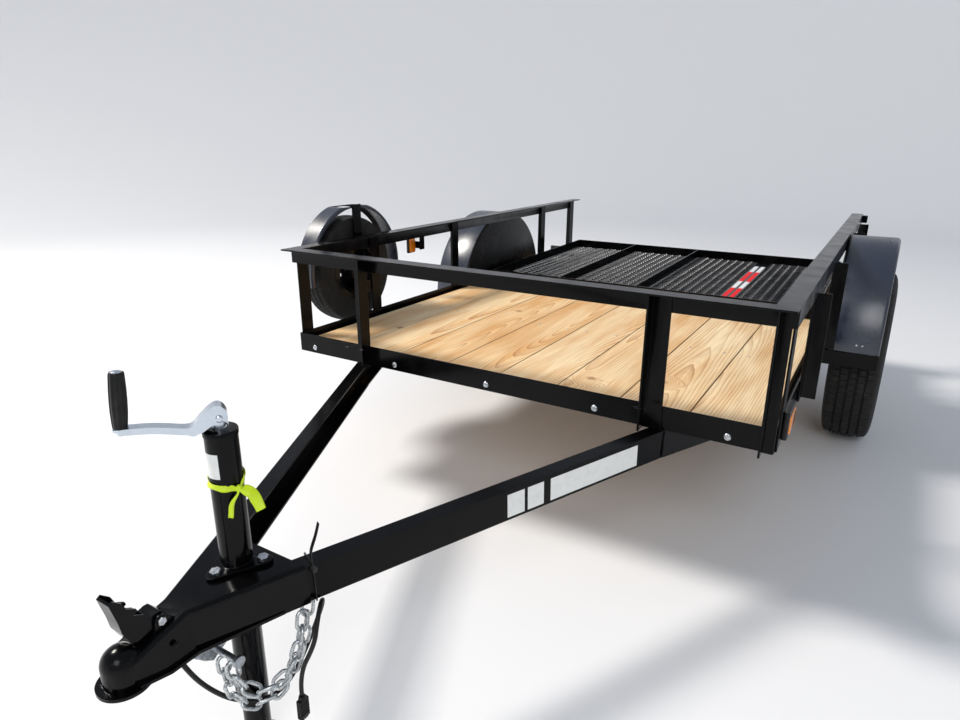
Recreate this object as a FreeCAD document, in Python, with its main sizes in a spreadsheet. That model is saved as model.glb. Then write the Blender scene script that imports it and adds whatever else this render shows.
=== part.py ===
import FreeCAD, Part
import math
import os
import re
import Sketcher

# Utility trailer with a folded ramp gate, parked on its wheels and tongue jack.
# Millimetres. +X is the road side, -Y the coupler end, +Z up, Z = 0 the ground.
# Stations along the trailer are measured rearward from the front face of the bed.

SIZES = {
    # bed frame
    "bed_length": (2277, "bed frame, front face to rear face"),
    "bed_width": (1537, "bed frame, side face to side face"),
    "rail_leg": (63, "legs of the bed frame angle"),
    "angle_wall": (5, "wall of every rolled angle"),
    "top_rise": (355, "underside of the bed frame to the top of the top rail"),
    "top_leg": (50, "legs of the top rail angle"),
    "post_plate": (50, "post leg that is welded flat to the rails"),
    "post_fin": (42, "post leg that stands out from the rails"),
    "front_post_x": (476, "middle of the two front posts over the tongue"),
    "cross_leg": (50, "legs of the deck cross angles"),
    # deck
    "board_count": (8, "lengthwise deck boards"),
    "deck_side": (22.25, "gap between the outer boards and the side rails"),
    "board_thick": (38, "thickness of one board"),
    "board_gap": (1.5, "gap between boards"),
    "deck_clear": (3, "gap between board ends and the end rails"),
    # tongue
    "beam_spread": (512, "outer face of a tongue channel at the bed's front face"),
    "beam_wide": (36, "flange of a tongue channel"),
    "beam_deep": (76, "depth of a tongue channel"),
    "beam_wall": (5, "wall of a tongue channel"),
    "tongue_droop": (2.68, "slope of the tongue down from the bed's front face, degrees"),
    "beam_run": (430, "station of the cross angle that ends the channels"),
    # coupler
    "tongue_reach": (1183, "bed's front face to the tip of the coupler"),
    "coupler_length": (329, "tip of the coupler to its rear edge"),
    "neck_length": (145.65, "tip of the coupler to where its sides turn parallel"),
    "coupler_wall": (5, "coupler plate"),
    "ball_radius": (25.8, "ball socket radius"),
    "dome_wall": (6, "wall of the ball dome"),
    "lip_radius": (43, "rolled lip under the dome"),
    "ball_drop": (32, "top of the tongue channels down to the ball's centre"),
    "skirt_depth": (38, "ball's centre to the underside of the lip"),
    "latch_back": (106, "tip of the coupler to the latch lever's pin"),
    "latch_rise": (12, "top of the tongue channels to the latch lever's pin"),
    "latch_half": (17, "half the width of the latch lever"),
    # jack
    "jack_back": (275, "tip of the coupler to the jack's axis"),
    "jack_radius": (28.5, "outer tube of the jack"),
    "jack_wall": (3, "wall of the outer tube"),
    "jack_top": (230, "underside of the bed frame to the top of the tube"),
    "jack_drop": (330, "underside of the bed frame to the foot of the outer tube"),
    "leg_radius": (25.4, "inner leg of the jack"),
    "leg_wall": (3, "wall of the inner leg"),
    "foot_radius": (52, "foot plate of the jack"),
    "foot_thick": (5, "foot plate thickness"),
    "flange_side": (134, "side of the triangular jack flange"),
    "flange_thick": (8, "jack flange thickness"),
    "crank_reach": (146, "jack axis to the grip's axis"),
    "crank_turn": (233.3, "heading of the crank arm, from +X towards +Y"),
    "grip_length": (95, "crank grip"),
    "grip_radius": (14, "crank grip"),
    # running gear
    "axle_back": (825, "bed's rear face forward to the axle"),
    "rail_over_axle": (125, "axle up to the underside of the bed frame"),
    "tyre_radius": (340, "running tyre"),
    "tyre_width": (180, "running tyre"),
    "tyre_gap": (24.5, "bed frame's side face to the inner side of a tyre"),
    "rim_radius": (190.5, "bead seat radius of the wheel"),
    "rim_width": (141, "wheel between its flanges"),
    "stud_circle": (57.15, "radius of the wheel stud circle"),
    "axle_radius": (30, "axle tube"),
    "spring_inset": (33.5, "bed frame's side face in to the middle of a leaf spring"),
    "spring_span": (641, "leaf spring eye to eye"),
    "spring_wide": (45, "leaf width"),
    "leaf_thick": (7, "leaf thickness"),
    "leaf_count": (4, "leaves in a spring"),
    "spring_sag": (20, "drop of a main leaf between its eyes"),
    "spring_eye": (14, "outside of a spring eye"),
    # fenders
    "fender_radius": (379, "outside of the fender's arch"),
    "fender_rise": (34, "underside of the bed frame down to the arch centre"),
    "fender_wall": (2, "fender sheet"),
    "fender_inset": (22, "outer side of a tyre back to the fender's outer edge"),
    "fender_foot": (24, "underside of the bed frame down to the feet of a fender"),
    # ramp gate
    "gate_side": (7.5, "gap between the gate and each side rail's flange"),
    "gate_length": (1060, "ramp gate"),
    "gate_leg": (50, "gate frame angle"),
    "gate_foot": (38, "gate frame's flat leg"),
    "gate_seat": (1, "gap between the folded gate and the rear rail"),
    "gate_droop": (0.95, "slope of the folded gate, degrees"),
    "gate_pin": (8, "hinge pin radius"),
    "gate_hinge_rise": (48, "underside of the bed frame to the gate's hinge axis"),
    "gate_hinge_x": (560, "middle of a gate hinge"),
    "gate_tube": (14, "hinge tube radius"),
    "gate_rib_step": (361, "spacing of the gate's lengthwise ribs"),
    "mesh_thick": (3, "expanded mesh"),
    # spare wheel
    "spare_station": (370, "bed's front face to the spare's axis"),
    "spare_rise": (219, "underside of the bed frame to the spare's axis"),
    "spare_radius": (203, "spare tyre"),
    "spare_width": (100, "spare tyre"),
    "spare_gap": (53.5, "bed frame's side face to the inner face of the spare"),
    "spare_bead": (104, "bead seat radius of the spare"),
    "guard_radius": (249, "outside of the guard over the spare"),
    "guard_width": (76, "guard over the spare"),
    # safety chains and wiring
    "chain_wire": (7, "bar of a chain link"),
    "chain_pitch": (27, "spacing of the chain links"),
    "cable_thick": (9, "wiring cable"),
}


def make_sheet(doc):
    """Write one aliased row of the sheet for each driving size."""
    sheet = doc.addObject("Spreadsheet::Sheet", "Sizes")
    for row, (alias, (number, note)) in enumerate(SIZES.items(), start=1):
        sheet.set("A%d" % row, str(number))
        sheet.setAlias("A%d" % row, alias)
        sheet.set("B%d" % row, note)
    doc.recompute()
    return sheet


doc = FreeCAD.newDocument("UtilityTrailer")
sheet = make_sheet(doc)


def size(alias):
    """Number in the sheet under this alias."""
    return float(sheet.get(alias))


def linked(text):
    """Expression text with every alias pointed at the sheet."""
    return re.sub(r"[a-z]+(?:_[a-z]+)+", lambda word: "Sizes." + word.group(0)
                  if word.group(0) in SIZES else word.group(0), text)


def bind(item, prop, text):
    """Tie one property of an object to an expression in sheet aliases."""
    item.setExpression(prop, linked(text))


# Y of the bed's front face, and sizes that follow from those in the sheet
JACK_STATION = "(tongue_reach - jack_back)"
FRONT_Y = "((tongue_reach - bed_length - 2 * gate_tube) / 2)"
RAIL_HEIGHT = "(tyre_radius + rail_over_axle)"
BOARD_WIDTH = "((bed_width - 2 * angle_wall - 2 * deck_side - (board_count - 1) * board_gap) / board_count)"
AXLE_STATION = "(bed_length - axle_back)"
WHEEL_X = "(bed_width / 2 + tyre_gap + tyre_width / 2)"
SPRING_X = "(bed_width / 2 - spring_inset)"
FENDER_WIDTH = "(tyre_gap - 2 * angle_wall + tyre_width - fender_inset)"
GATE_HALF = "(bed_width / 2 + 2 * angle_wall - top_leg - gate_side)"


def at_station(text):
    """Expression for the Y of a station behind the bed's front face."""
    return "%s + (%s)" % (FRONT_Y, text)


def over_rail(text):
    """Expression for the Z of a height over the underside of the bed frame."""
    return "%s + (%s)" % (RAIL_HEIGHT, text)


def number_of(text):
    """Value of an expression in sheet aliases."""
    return float(sheet.evalExpression(linked(text)))


front_y = number_of(FRONT_Y)
rail_height = number_of(RAIL_HEIGHT)
axle_station = number_of(AXLE_STATION)
wheel_x = number_of(WHEEL_X)
spring_x = number_of(SPRING_X)
fender_width = number_of(FENDER_WIDTH)
gate_half = number_of(GATE_HALF)


def place(item, x, y, z):
    """Tie an object's position to three expressions."""
    bind(item, "Placement.Base.x", x)
    bind(item, "Placement.Base.y", y)
    bind(item, "Placement.Base.z", z)


def box(name, length, width, height, x, y, z):
    """Rectangular block with bound sides and corner."""
    item = doc.addObject("Part::Box", name)
    bind(item, "Length", length)
    bind(item, "Width", width)
    bind(item, "Height", height)
    place(item, x, y, z)
    return item


def cylinder(name, radius, height, x, y, z, axis=None):
    """Round bar with bound size and foot, along Z or a given axis."""
    item = doc.addObject("Part::Cylinder", name)
    bind(item, "Radius", radius)
    bind(item, "Height", height)
    if axis is not None:
        turn = FreeCAD.Rotation(FreeCAD.Vector(0, 0, 1), FreeCAD.Vector(*axis))
        item.Placement = FreeCAD.Placement(FreeCAD.Vector(), turn)
    place(item, x, y, z)
    return item


def fuse(name, items):
    """Boolean union of several objects."""
    item = doc.addObject("Part::MultiFuse", name)
    item.Shapes = items
    item.Refine = True
    return item


def cut(name, base, tool):
    """Boolean difference of two objects."""
    item = doc.addObject("Part::Cut", name)
    item.Base = base
    item.Tool = tool
    item.Refine = True
    return item


def group(name, items):
    """Several solids that stay apart, as one object."""
    item = doc.addObject("Part::Compound", name)
    item.Links = items
    return item


def mirrored(name, source):
    """The same object on the other side of the centre plane."""
    item = doc.addObject("Part::Mirroring", name)
    item.Source = source
    item.Normal = FreeCAD.Vector(1, 0, 0)
    item.Base = FreeCAD.Vector(0, 0, 0)
    return item


def feature(name, shape):
    """Object that carries a shape worked out here from the sheet."""
    item = doc.addObject("Part::Feature", name)
    item.Shape = shape
    return item


def vec(x, y, z):
    """Point from a lateral place, a station and a height over the bed's underside."""
    return FreeCAD.Vector(x, front_y + y, rail_height + z)


def behind_tip(x, distance, rise):
    """Point from a lateral place, a distance behind the coupler's tip and a height over the bed's underside."""
    return vec(x, distance - size("tongue_reach"), rise)


def jack_station():
    """Distance of the jack's axis ahead of the bed."""
    return size("tongue_reach") - size("jack_back")


def on_tongue(x, station, rise):
    """Point given as if the tongue were level, where it lies on the drooping tongue."""
    turn = math.radians(size("tongue_droop"))
    return vec(x, station * math.cos(turn) - rise * math.sin(turn),
               station * math.sin(turn) + rise * math.cos(turn))


def drooped(shape):
    """Turn a shape of the level tongue down about the bed's lower front edge."""
    shape.rotate(vec(0, 0, 0), FreeCAD.Vector(1, 0, 0), size("tongue_droop"))
    return shape


def new_body(name, x="0", station="0", rise="0"):
    """Empty body whose origin sits at a lateral place, a station and a height."""
    body = doc.addObject("PartDesign::Body", name)
    place(body, x, at_station(station), over_rail(rise))
    return body


def plane_of(body, role):
    """Origin plane of a body by its role."""
    return [item for item in body.Origin.OriginFeatures if item.Role == role][0]


def outline_on(body, name, role, points, lift="0"):
    """Closed polygon sketch on an origin plane, each point bound to two expressions."""
    sketch = body.newObject("Sketcher::SketchObject", name)
    sketch.AttachmentSupport = [(plane_of(body, role), "")]
    sketch.MapMode = "FlatFace"
    bind(sketch, "AttachmentOffset.Base.z", lift)
    spots = [(number_of(a), number_of(b)) for a, b in points]
    count = len(points)
    for index in range(count):
        start = FreeCAD.Vector(*spots[index], 0)
        stop = FreeCAD.Vector(*spots[(index + 1) % count], 0)
        sketch.addGeometry(Part.LineSegment(start, stop), False)
    for index in range(count):
        sketch.addConstraint(Sketcher.Constraint("Coincident", index, 2, (index + 1) % count, 1))
    for index, point in enumerate(points):
        for kind, tag, text, number in (("DistanceX", "across", point[0], spots[index][0]),
                                        ("DistanceY", "along", point[1], spots[index][1])):
            spot = sketch.addConstraint(Sketcher.Constraint(kind, -1, 1, index, 1, number))
            sketch.renameConstraint(spot, "%s_%d" % (tag, index))
            bind(sketch, "Constraints.%s_%d" % (tag, index), text)
    return sketch


def pad(body, name, sketch, length, backward=False):
    """Pad of a sketch with a bound length."""
    item = body.newObject("PartDesign::Pad", name)
    item.Profile = sketch
    item.Reversed = backward
    bind(item, "Length", length)
    body.Tip = item
    return item


def pocket(body, name, sketch, length, backward=False):
    """Pocket of a sketch with a bound depth."""
    item = body.newObject("PartDesign::Pocket", name)
    item.Profile = sketch
    item.Reversed = backward
    bind(item, "Length", length)
    body.Tip = item
    return item


def rectangle(x_low, y_low, x_high, y_high):
    """Corner points of a rectangle."""
    return [(x_low, y_low), (x_high, y_low), (x_high, y_high), (x_low, y_high)]


# Bed frame: rails of rolled angle, upright legs outside and flat legs below the deck
# name, length, width, height, x, station, rise
INSIDE = "(bed_width / 2 - angle_wall)"
FLAT_INSIDE = "(bed_width / 2 - rail_leg)"
BED_LEGS = [
    ("FrontUpright", "bed_width", "angle_wall", "rail_leg", "-bed_width / 2", "0", "0"),
    ("RearUpright", "bed_width", "angle_wall", "rail_leg", "-bed_width / 2", "bed_length - angle_wall", "0"),
    ("RoadUpright", "angle_wall", "bed_length - 2 * angle_wall", "rail_leg", INSIDE, "angle_wall", "0"),
    ("CurbUpright", "angle_wall", "bed_length - 2 * angle_wall", "rail_leg", "-bed_width / 2", "angle_wall", "0"),
    ("FrontFlat", "2 * " + INSIDE, "rail_leg - angle_wall", "angle_wall", "-" + INSIDE, "angle_wall", "0"),
    ("RearFlat", "2 * " + INSIDE, "rail_leg - angle_wall", "angle_wall", "-" + INSIDE,
     "bed_length - rail_leg", "0"),
    ("RoadFlat", "rail_leg - angle_wall", "bed_length - 2 * rail_leg", "angle_wall", FLAT_INSIDE,
     "rail_leg", "0"),
    ("CurbFlat", "rail_leg - angle_wall", "bed_length - 2 * rail_leg", "angle_wall", "-" + INSIDE,
     "rail_leg", "0"),
]


def make_bed_frame():
    """Perimeter of the bed, each rail as its two legs."""
    legs = []
    for name, length, width, height, x, station, rise in BED_LEGS:
        legs.append(box(name, length, width, height, x, at_station(station), over_rail(rise)))
    return group("bed_frame", legs)


# Deck cross angles: name, station of the upright leg
CROSS_ANGLES = [
    ("First", "beam_run"),
    ("Second", "beam_run + (bed_length - beam_run) / 3"),
    ("Third", "beam_run + (bed_length - beam_run) * 2 / 3"),
]


def make_cross_angles():
    """Angles under the boards, from flat leg to flat leg of the bed frame."""
    half = "(bed_width / 2 - rail_leg)"
    items = []
    for name, station in CROSS_ANGLES:
        body = new_body("Cross" + name, "-" + half, station, "angle_wall - cross_leg")
        shape = outline_on(body, "Cross%sShape" % name, "YZ_Plane",
                           [("0", "0"), ("angle_wall", "0"), ("angle_wall", "cross_leg - angle_wall"),
                            ("cross_leg", "cross_leg - angle_wall"), ("cross_leg", "cross_leg"),
                            ("0", "cross_leg")])
        pad(body, "Cross%sBar" % name, shape, "2 * " + half)
        items.append(body)
    return group("cross_angles", items)


def make_deck():
    """Lengthwise boards, side by side on the flat legs."""
    span = "(board_count * %s + (board_count - 1) * board_gap)" % BOARD_WIDTH
    items = []
    for index in range(int(size("board_count"))):
        items.append(box("Board%d" % (index + 1), BOARD_WIDTH,
                         "bed_length - 2 * angle_wall - 2 * deck_clear", "board_thick",
                         "%d * (%s + board_gap) - %s / 2" % (index, BOARD_WIDTH, span),
                         at_station("angle_wall + deck_clear"), over_rail("angle_wall")))
    return group("deck_boards", items)


# Top rail: flat leg on top, forward at the front and inward at the sides
TOP_HALF = "(bed_width / 2 + 2 * angle_wall)"


def make_top_rail():
    """Front and side rails as one welded U of angle."""
    body = new_body("top_rail")
    tip = "(angle_wall - top_leg)"
    flat = outline_on(body, "TopFlat", "XY_Plane",
                      [("-" + TOP_HALF, tip), (TOP_HALF, tip), (TOP_HALF, "bed_length"),
                       (TOP_HALF + " - top_leg", "bed_length"), (TOP_HALF + " - top_leg", "angle_wall"),
                       ("top_leg - " + TOP_HALF, "angle_wall"), ("top_leg - " + TOP_HALF, "bed_length"),
                       ("-" + TOP_HALF, "bed_length")], "top_rise - angle_wall")
    pad(body, "TopFlatLeg", flat, "angle_wall")
    legs = outline_on(body, "TopLegs", "XY_Plane",
                      [("-" + TOP_HALF, "0"), (TOP_HALF, "0"), (TOP_HALF, "bed_length"),
                       (TOP_HALF + " - angle_wall", "bed_length"), (TOP_HALF + " - angle_wall", "angle_wall"),
                       ("angle_wall - " + TOP_HALF, "angle_wall"), ("angle_wall - " + TOP_HALF, "bed_length"),
                       ("-" + TOP_HALF, "bed_length")], "top_rise - top_leg")
    pad(body, "TopUprightLeg", legs, "top_leg - angle_wall")
    return body


# Front posts: name, lateral place of the plate's outer edge, side of the fin (+1 road side, -1 curb side)
FRONT_POSTS = [
    ("CurbBeam", "-(front_post_x + post_plate / 2)", 1),
    ("RoadBeam", "front_post_x + post_plate / 2", -1),
    ("RoadCorner", "bed_width / 2", -1),
]


def make_front_posts():
    """Angle posts on the front faces of the bed frame and the top rail."""
    items = []
    for name, edge, side in FRONT_POSTS:
        body = new_body("FrontPost" + name, edge)
        turn = "%d * " % side
        shape = outline_on(body, "FrontPost%sShape" % name, "XY_Plane",
                           [("0", "0"), (turn + "post_plate", "0"), (turn + "post_plate", "-post_fin"),
                            (turn + "(post_plate - angle_wall)", "-post_fin"),
                            (turn + "(post_plate - angle_wall)", "-angle_wall"), ("0", "-angle_wall")])
        pad(body, "FrontPost%sBar" % name, shape, "top_rise - angle_wall")
        items.append(body)
    return group("front_posts", items)


# Side posts on each side: name, station of the plate's front edge
SIDE_POSTS = [
    ("Corner", "3 * angle_wall"),
    ("Spare", "spare_station + 20"),
    ("Fore", AXLE_STATION + " - fender_radius - 125"),
    ("Aft", AXLE_STATION + " + fender_radius + 9"),
    ("Rear", "bed_length - post_plate"),
]


def make_side_posts():
    """Angle posts on the side faces, plate inside the top rail's leg, fin outward below it.

    The road-side corner has a plain plate, because the side lamp sits against it.
    """
    items = []
    for side_name, side in (("Road", 1), ("Curb", -1)):
        for name, station in SIDE_POSTS:
            label = "SidePost%s%s" % (side_name, name)
            body = new_body(label, "%d * bed_width / 2" % side, station)
            turn = "%d * " % side
            fin = [(turn + "angle_wall", "post_plate - angle_wall"), (turn + "post_fin", "post_plate - angle_wall"),
                   (turn + "post_fin", "post_plate")]
            if label == "SidePostRoadCorner":
                fin = [(turn + "angle_wall", "post_plate")]
            shape = outline_on(body, label + "Shape", "XY_Plane",
                               [("0", "0"), (turn + "angle_wall", "0")] + fin + [("0", "post_plate")])
            pad(body, label + "Bar", shape, "top_rise - top_leg")
            plate = outline_on(body, label + "Plate", "XY_Plane",
                               rectangle("0", "0", turn + "angle_wall", "post_plate"), "top_rise - top_leg")
            pad(body, label + "Top", plate, "top_leg - angle_wall")
            items.append(body)
    return group("side_posts", items)


# Tongue: two channels, open towards each other, that droop ahead of the bed and meet in the coupler


# sideways run of a channel for each length of tongue, so that both channels meet the neck
BEAM_SLANT = "((beam_spread - ball_radius - 2.5) / (tongue_reach - neck_length))"
BEAM_FRONT = "(-%s - 45)" % JACK_STATION
BEAM_ACROSS = "(beam_wide / cos(atan(%s)))" % BEAM_SLANT


def beam_edge(station):
    """Expression for the outer face of a tongue channel at a station."""
    return "(beam_spread + (%s) * %s)" % (station, BEAM_SLANT)


def beam_slant():
    """Sideways run of a channel for each length of tongue."""
    return (size("beam_spread") - size("ball_radius") - 2.5) / (size("tongue_reach") - size("neck_length"))


def make_channel(name, front, rear):
    """Road-side channel between two stations, its web outside."""
    body = new_body(name)
    front_edge = beam_edge(front)
    rear_edge = beam_edge(rear)
    shape = outline_on(body, name + "Plan", "XY_Plane",
                       [(front_edge, front), (rear_edge, rear), (rear_edge + " - " + BEAM_ACROSS, rear),
                        (front_edge + " - " + BEAM_ACROSS, front)])
    pad(body, name + "Bar", shape, "beam_deep", backward=True)
    wall = "(beam_wall / cos(atan(%s)))" % BEAM_SLANT
    fore = "(%s - 10)" % front
    aft = "(%s + 10)" % rear
    hollow = outline_on(body, name + "Hollow", "XY_Plane",
                        [(beam_edge(fore) + " - " + wall, fore), (beam_edge(aft) + " - " + wall, aft),
                         (beam_edge(aft) + " - %s - 5" % BEAM_ACROSS, aft),
                         (beam_edge(fore) + " - %s - 5" % BEAM_ACROSS, fore)], "-beam_wall")
    pocket(body, name + "Inside", hollow, "beam_deep - 2 * beam_wall")
    return body


def make_tongue_beam():
    """Road-side beam: a level channel under the bed, bent down where it leaves the bed."""
    fore = make_channel("BeamFore", BEAM_FRONT, "0")
    fore.Placement = FreeCAD.Placement(fore.Placement.Base, FreeCAD.Rotation(FreeCAD.Vector(1, 0, 0), 1))
    bind(fore, "Placement.Rotation.Angle", "tongue_droop")
    aft = make_channel("BeamAft", "0", "beam_run")
    return fuse("tongue_beam_roadside", [fore, aft])


# Coupler: bent plate over the beams, a neck and the ball dome with its lip


def arch_section(half, station, top, bottom, corner):
    """Closed section across the trailer: flat top with two rounded or sharp corners, straight sides."""
    c = corner
    if not c:
        points = [vec(-half, station, bottom), vec(-half, station, top), vec(half, station, top),
                  vec(half, station, bottom)]
        return Part.makePolygon(points + points[:1])
    q = corner * (1 - math.sqrt(0.5))
    points = [vec(-half, station, bottom), vec(-half, station, top - c), vec(-half + c, station, top),
              vec(half - c, station, top), vec(half, station, top - c), vec(half, station, bottom)]
    edges = [Part.LineSegment(points[0], points[1]).toShape(),
             Part.Arc(points[1], vec(-half + q, station, top - q), points[2]).toShape(),
             Part.LineSegment(points[2], points[3]).toShape(),
             Part.Arc(points[3], vec(half - q, station, top - q), points[4]).toShape(),
             Part.LineSegment(points[4], points[5]).toShape(),
             Part.LineSegment(points[5], points[0]).toShape()]
    return Part.Wire(edges)


def coupler_rows():
    """Station, half width, top and bottom of the coupler's sections, as if the tongue were level."""
    half_tan = beam_slant()
    wall = size("coupler_wall")
    across = wall / math.cos(math.atan(half_tan))
    dome = size("ball_radius") + size("dome_wall")
    tip = -(size("tongue_reach") - size("lip_radius"))
    sole = -size("ball_drop") - size("skirt_depth")
    narrow = dome + 2
    waist = size("neck_length") - size("tongue_reach")
    rear = size("coupler_length") - size("tongue_reach")
    return [
        (rear, size("beam_spread") + rear * half_tan + across, wall, -size("beam_deep")),
        (waist, narrow, wall, -size("beam_deep") - 4),
        ((waist + tip) / 2, narrow, -wall, -size("beam_deep") - 2),
        (tip + 18, narrow - 1, -3 * wall + 1, sole + 1),
        (tip, dome, -3 * wall - 3, sole + 4),
    ]


def coupler_shell(inset, drop):
    """Ruled solid through the coupler's sections, drawn in by an inset and lowered at the foot."""
    wires = []
    for index, (station, half, top, bottom) in enumerate(coupler_rows()):
        shift = 1 if inset and index == 0 else 0
        wires.append(arch_section(half - inset, station + shift, top - inset, bottom - drop, 0 if inset else 9))
    return Part.makeLoft(wires, True, True)


def coupler_sole(flare, thick, grow):
    """Ruled slab along the lower edges of the neck, wider than the neck by a flare."""
    wires = []
    for index, (station, half, top, bottom) in enumerate(coupler_rows()):
        if index == 0:
            station -= 45
            half -= 45 * beam_slant() + flare - 2
        points = [vec(x, station, z) for x, z in ((-half - flare, bottom - grow), (half + flare, bottom - grow),
                                                  (half + flare, bottom + thick + grow),
                                                  (-half - flare, bottom + thick + grow))]
        wires.append(Part.makePolygon(points + points[:1]))
    return Part.makeLoft(wires, True, True)


def make_coupler():
    """Shell of plate with its sole, the dome, its lip, the socket and the hole for the jack."""
    wall = size("coupler_wall")
    dome = size("ball_radius") + size("dome_wall")
    tip = -(size("tongue_reach") - size("lip_radius"))
    skirt = size("skirt_depth")
    shell = coupler_shell(0, 0).fuse(coupler_sole(9, 6, 0)).cut(coupler_shell(wall, 60))
    ears = []
    for end in (-1, 1):
        corner = latch_pivot() + FreeCAD.Vector(end * (size("latch_half") + 3) - 2, 0, 0)
        foot = -size("latch_rise") - 11
        points = [corner + FreeCAD.Vector(0, y, z) for y, z in
                  [(-11, 0), (-14, foot), (24, foot), (24, 1 - size("latch_rise")), (8, 7), (-11, 0)]]
        plate = Part.Face(Part.makePolygon(points)).extrude(FreeCAD.Vector(4, 0, 0))
        round_end = Part.makeCylinder(11, 4, corner, FreeCAD.Vector(1, 0, 0))
        bore = Part.makeCylinder(4.1, 4, corner, FreeCAD.Vector(1, 0, 0))
        ears.append(plate.fuse(round_end).cut(bore))
    shell = drooped(shell.fuse(ears))
    ball_point = on_tongue(0, tip, -size("ball_drop"))
    down = FreeCAD.Vector(0, 0, -1)
    dome_solid = Part.makeSphere(dome, ball_point)
    skirt_solid = Part.makeCylinder(dome, skirt, ball_point, down)
    lip = Part.makeCylinder(size("lip_radius"), 6, ball_point - FreeCAD.Vector(0, 0, skirt - 6), down)
    solid = shell.fuse([dome_solid, skirt_solid, lip])
    socket = Part.makeSphere(size("ball_radius"), ball_point)
    mouth = Part.makeCylinder(size("ball_radius"), skirt + 10, ball_point, down)
    hole = Part.makeCylinder(size("jack_radius") + 0.5, 100, vec(0, -jack_station(), -80))
    solid = solid.cut(Part.makeCompound([socket.fuse(mouth), hole]))
    return feature("coupler", solid.removeSplitter())


def latch_pivot():
    """Middle of the latch lever's pin, as if the tongue were level."""
    return vec(0, size("latch_back") - size("tongue_reach"), size("latch_rise"))


def latch_slab(points, half):
    """Slab across the trailer with a side outline drawn about the latch's pin."""
    corner = latch_pivot() - FreeCAD.Vector(half, 0, 0)
    outline = [corner + FreeCAD.Vector(0, y, z) for y, z in points + points[:1]]
    return Part.Face(Part.makePolygon(outline)).extrude(FreeCAD.Vector(2 * half, 0, 0))


def make_coupler_latch():
    """Raised latch lever: a folded channel with hooked flanges, open to the rear, on a cross pin."""
    side = [(-78, 90), (-70, 95), (-56, 80), (-50, 63), (-34, 51), (-31, 43), (-36, 39), (-41, 40), (-22, 27),
            (-14, 13), (-8, 14), (4, 15), (12, 5), (8, -4), (-12, -9), (-40, -14), (-50, -6), (-59, 16), (-66, 42)]
    lever = latch_slab(side, size("latch_half"))
    well = latch_slab([(-74, 100), (-73, 88), (-61.5, 42), (-54.5, 17), (-46.5, -4), (-39, -9.5), (-16, -5),
                       (-16, 30), (-20, 60), (-45, 110)], size("latch_half") - 3.5)
    pin = Part.makeCylinder(4, 50, latch_pivot() - FreeCAD.Vector(25, 0, 0), FreeCAD.Vector(1, 0, 0))
    return feature("coupler_latch", drooped(lever.cut(well).fuse(pin).removeSplitter()))


# Tongue jack


def make_jack_tube():
    """Outer tube with its cap and its triangular mounting flange, bored for the inner leg."""
    axis_y = at_station("-" + JACK_STATION)
    outer = cylinder("JackOuter", "jack_radius", "jack_top + jack_drop", "0", axis_y, over_rail("-jack_drop"))
    bore = cylinder("JackBore", "jack_radius - jack_wall", "jack_top + jack_drop", "0", axis_y,
                    over_rail("-jack_drop - 2 * jack_wall"))
    side = size("flange_side")
    spots = [(side * 0.5, side * 0.289), (-side * 0.5, side * 0.289), (0, -side * 0.577)]
    plate = Part.Face(Part.makePolygon([vec(x, -jack_station() + y, size("coupler_wall"))
                                        for x, y in spots + spots[:1]]))
    plate = plate.extrude(FreeCAD.Vector(0, 0, size("flange_thick")))
    upright = [edge for edge in plate.Edges
               if abs(edge.Vertexes[0].Z - edge.Vertexes[1].Z) > 1]
    plate = drooped(plate.makeFillet(12, upright))
    return cut("jack_tube", fuse("JackBody", [outer, feature("JackFlange", plate)]), bore)


def make_jack_leg():
    """Inner leg with its foot plate on the ground."""
    axis_y = at_station("-" + JACK_STATION)
    top = "(%s - jack_drop + 290)" % RAIL_HEIGHT
    outer = cylinder("LegOuter", "leg_radius", top + " - foot_thick", "0", axis_y, "foot_thick")
    bore = cylinder("LegBore", "leg_radius - leg_wall", top, "0", axis_y, "foot_thick + 4")
    foot = cylinder("LegFoot", "foot_radius", "foot_thick", "0", axis_y, "0")
    return fuse("jack_leg", [cut("LegWall", outer, bore), foot])


def make_jack_crank():
    """Hub on the cap, cranked flat arm and the grip's pin."""
    rise = size("jack_top")
    axis = vec(0, -jack_station(), rise)
    hub = Part.makeCylinder(11, 14, axis)
    head = Part.makeBox(24, 24, 24, axis + FreeCAD.Vector(-12, -12, 14))
    reach = size("crank_reach")
    # distance from the jack's axis and height over the tube's cap along the arm's middle
    line = [(-10, 27), (12, 30), (52, 13), (reach + 13, 17)]
    lower = [FreeCAD.Vector(a, -12, b - 5) for a, b in line]
    upper = [FreeCAD.Vector(a, -12, b + 5) for a, b in reversed(line)]
    arm = Part.Face(Part.makePolygon(lower + upper + lower[:1])).extrude(FreeCAD.Vector(0, 24, 0))
    arm.rotate(FreeCAD.Vector(0, 0, 0), FreeCAD.Vector(0, 0, 1), size("crank_turn"))
    arm.translate(axis)
    return feature("jack_crank", hub.fuse([head, arm]).removeSplitter())


def make_jack_grip():
    """Upright grip at the arm's end."""
    turn = math.radians(size("crank_turn"))
    reach = size("crank_reach")
    spot = vec(reach * math.cos(turn), -jack_station() + reach * math.sin(turn), size("jack_top") + 22)
    radius = size("grip_radius")
    return feature("jack_grip", Part.makeCone(radius - 3, radius, size("grip_length"), spot))


# Running gear


def ring_solid(profile, centre, turns=360):
    """Solid of revolution about the X axis through a point, from (offset, radius) points."""
    points = [centre + FreeCAD.Vector(offset, 0, radius) for offset, radius in profile]
    face = Part.Face(Part.makePolygon(points + points[:1]))
    return face.revolve(centre, FreeCAD.Vector(1, 0, 0), turns)


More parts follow.
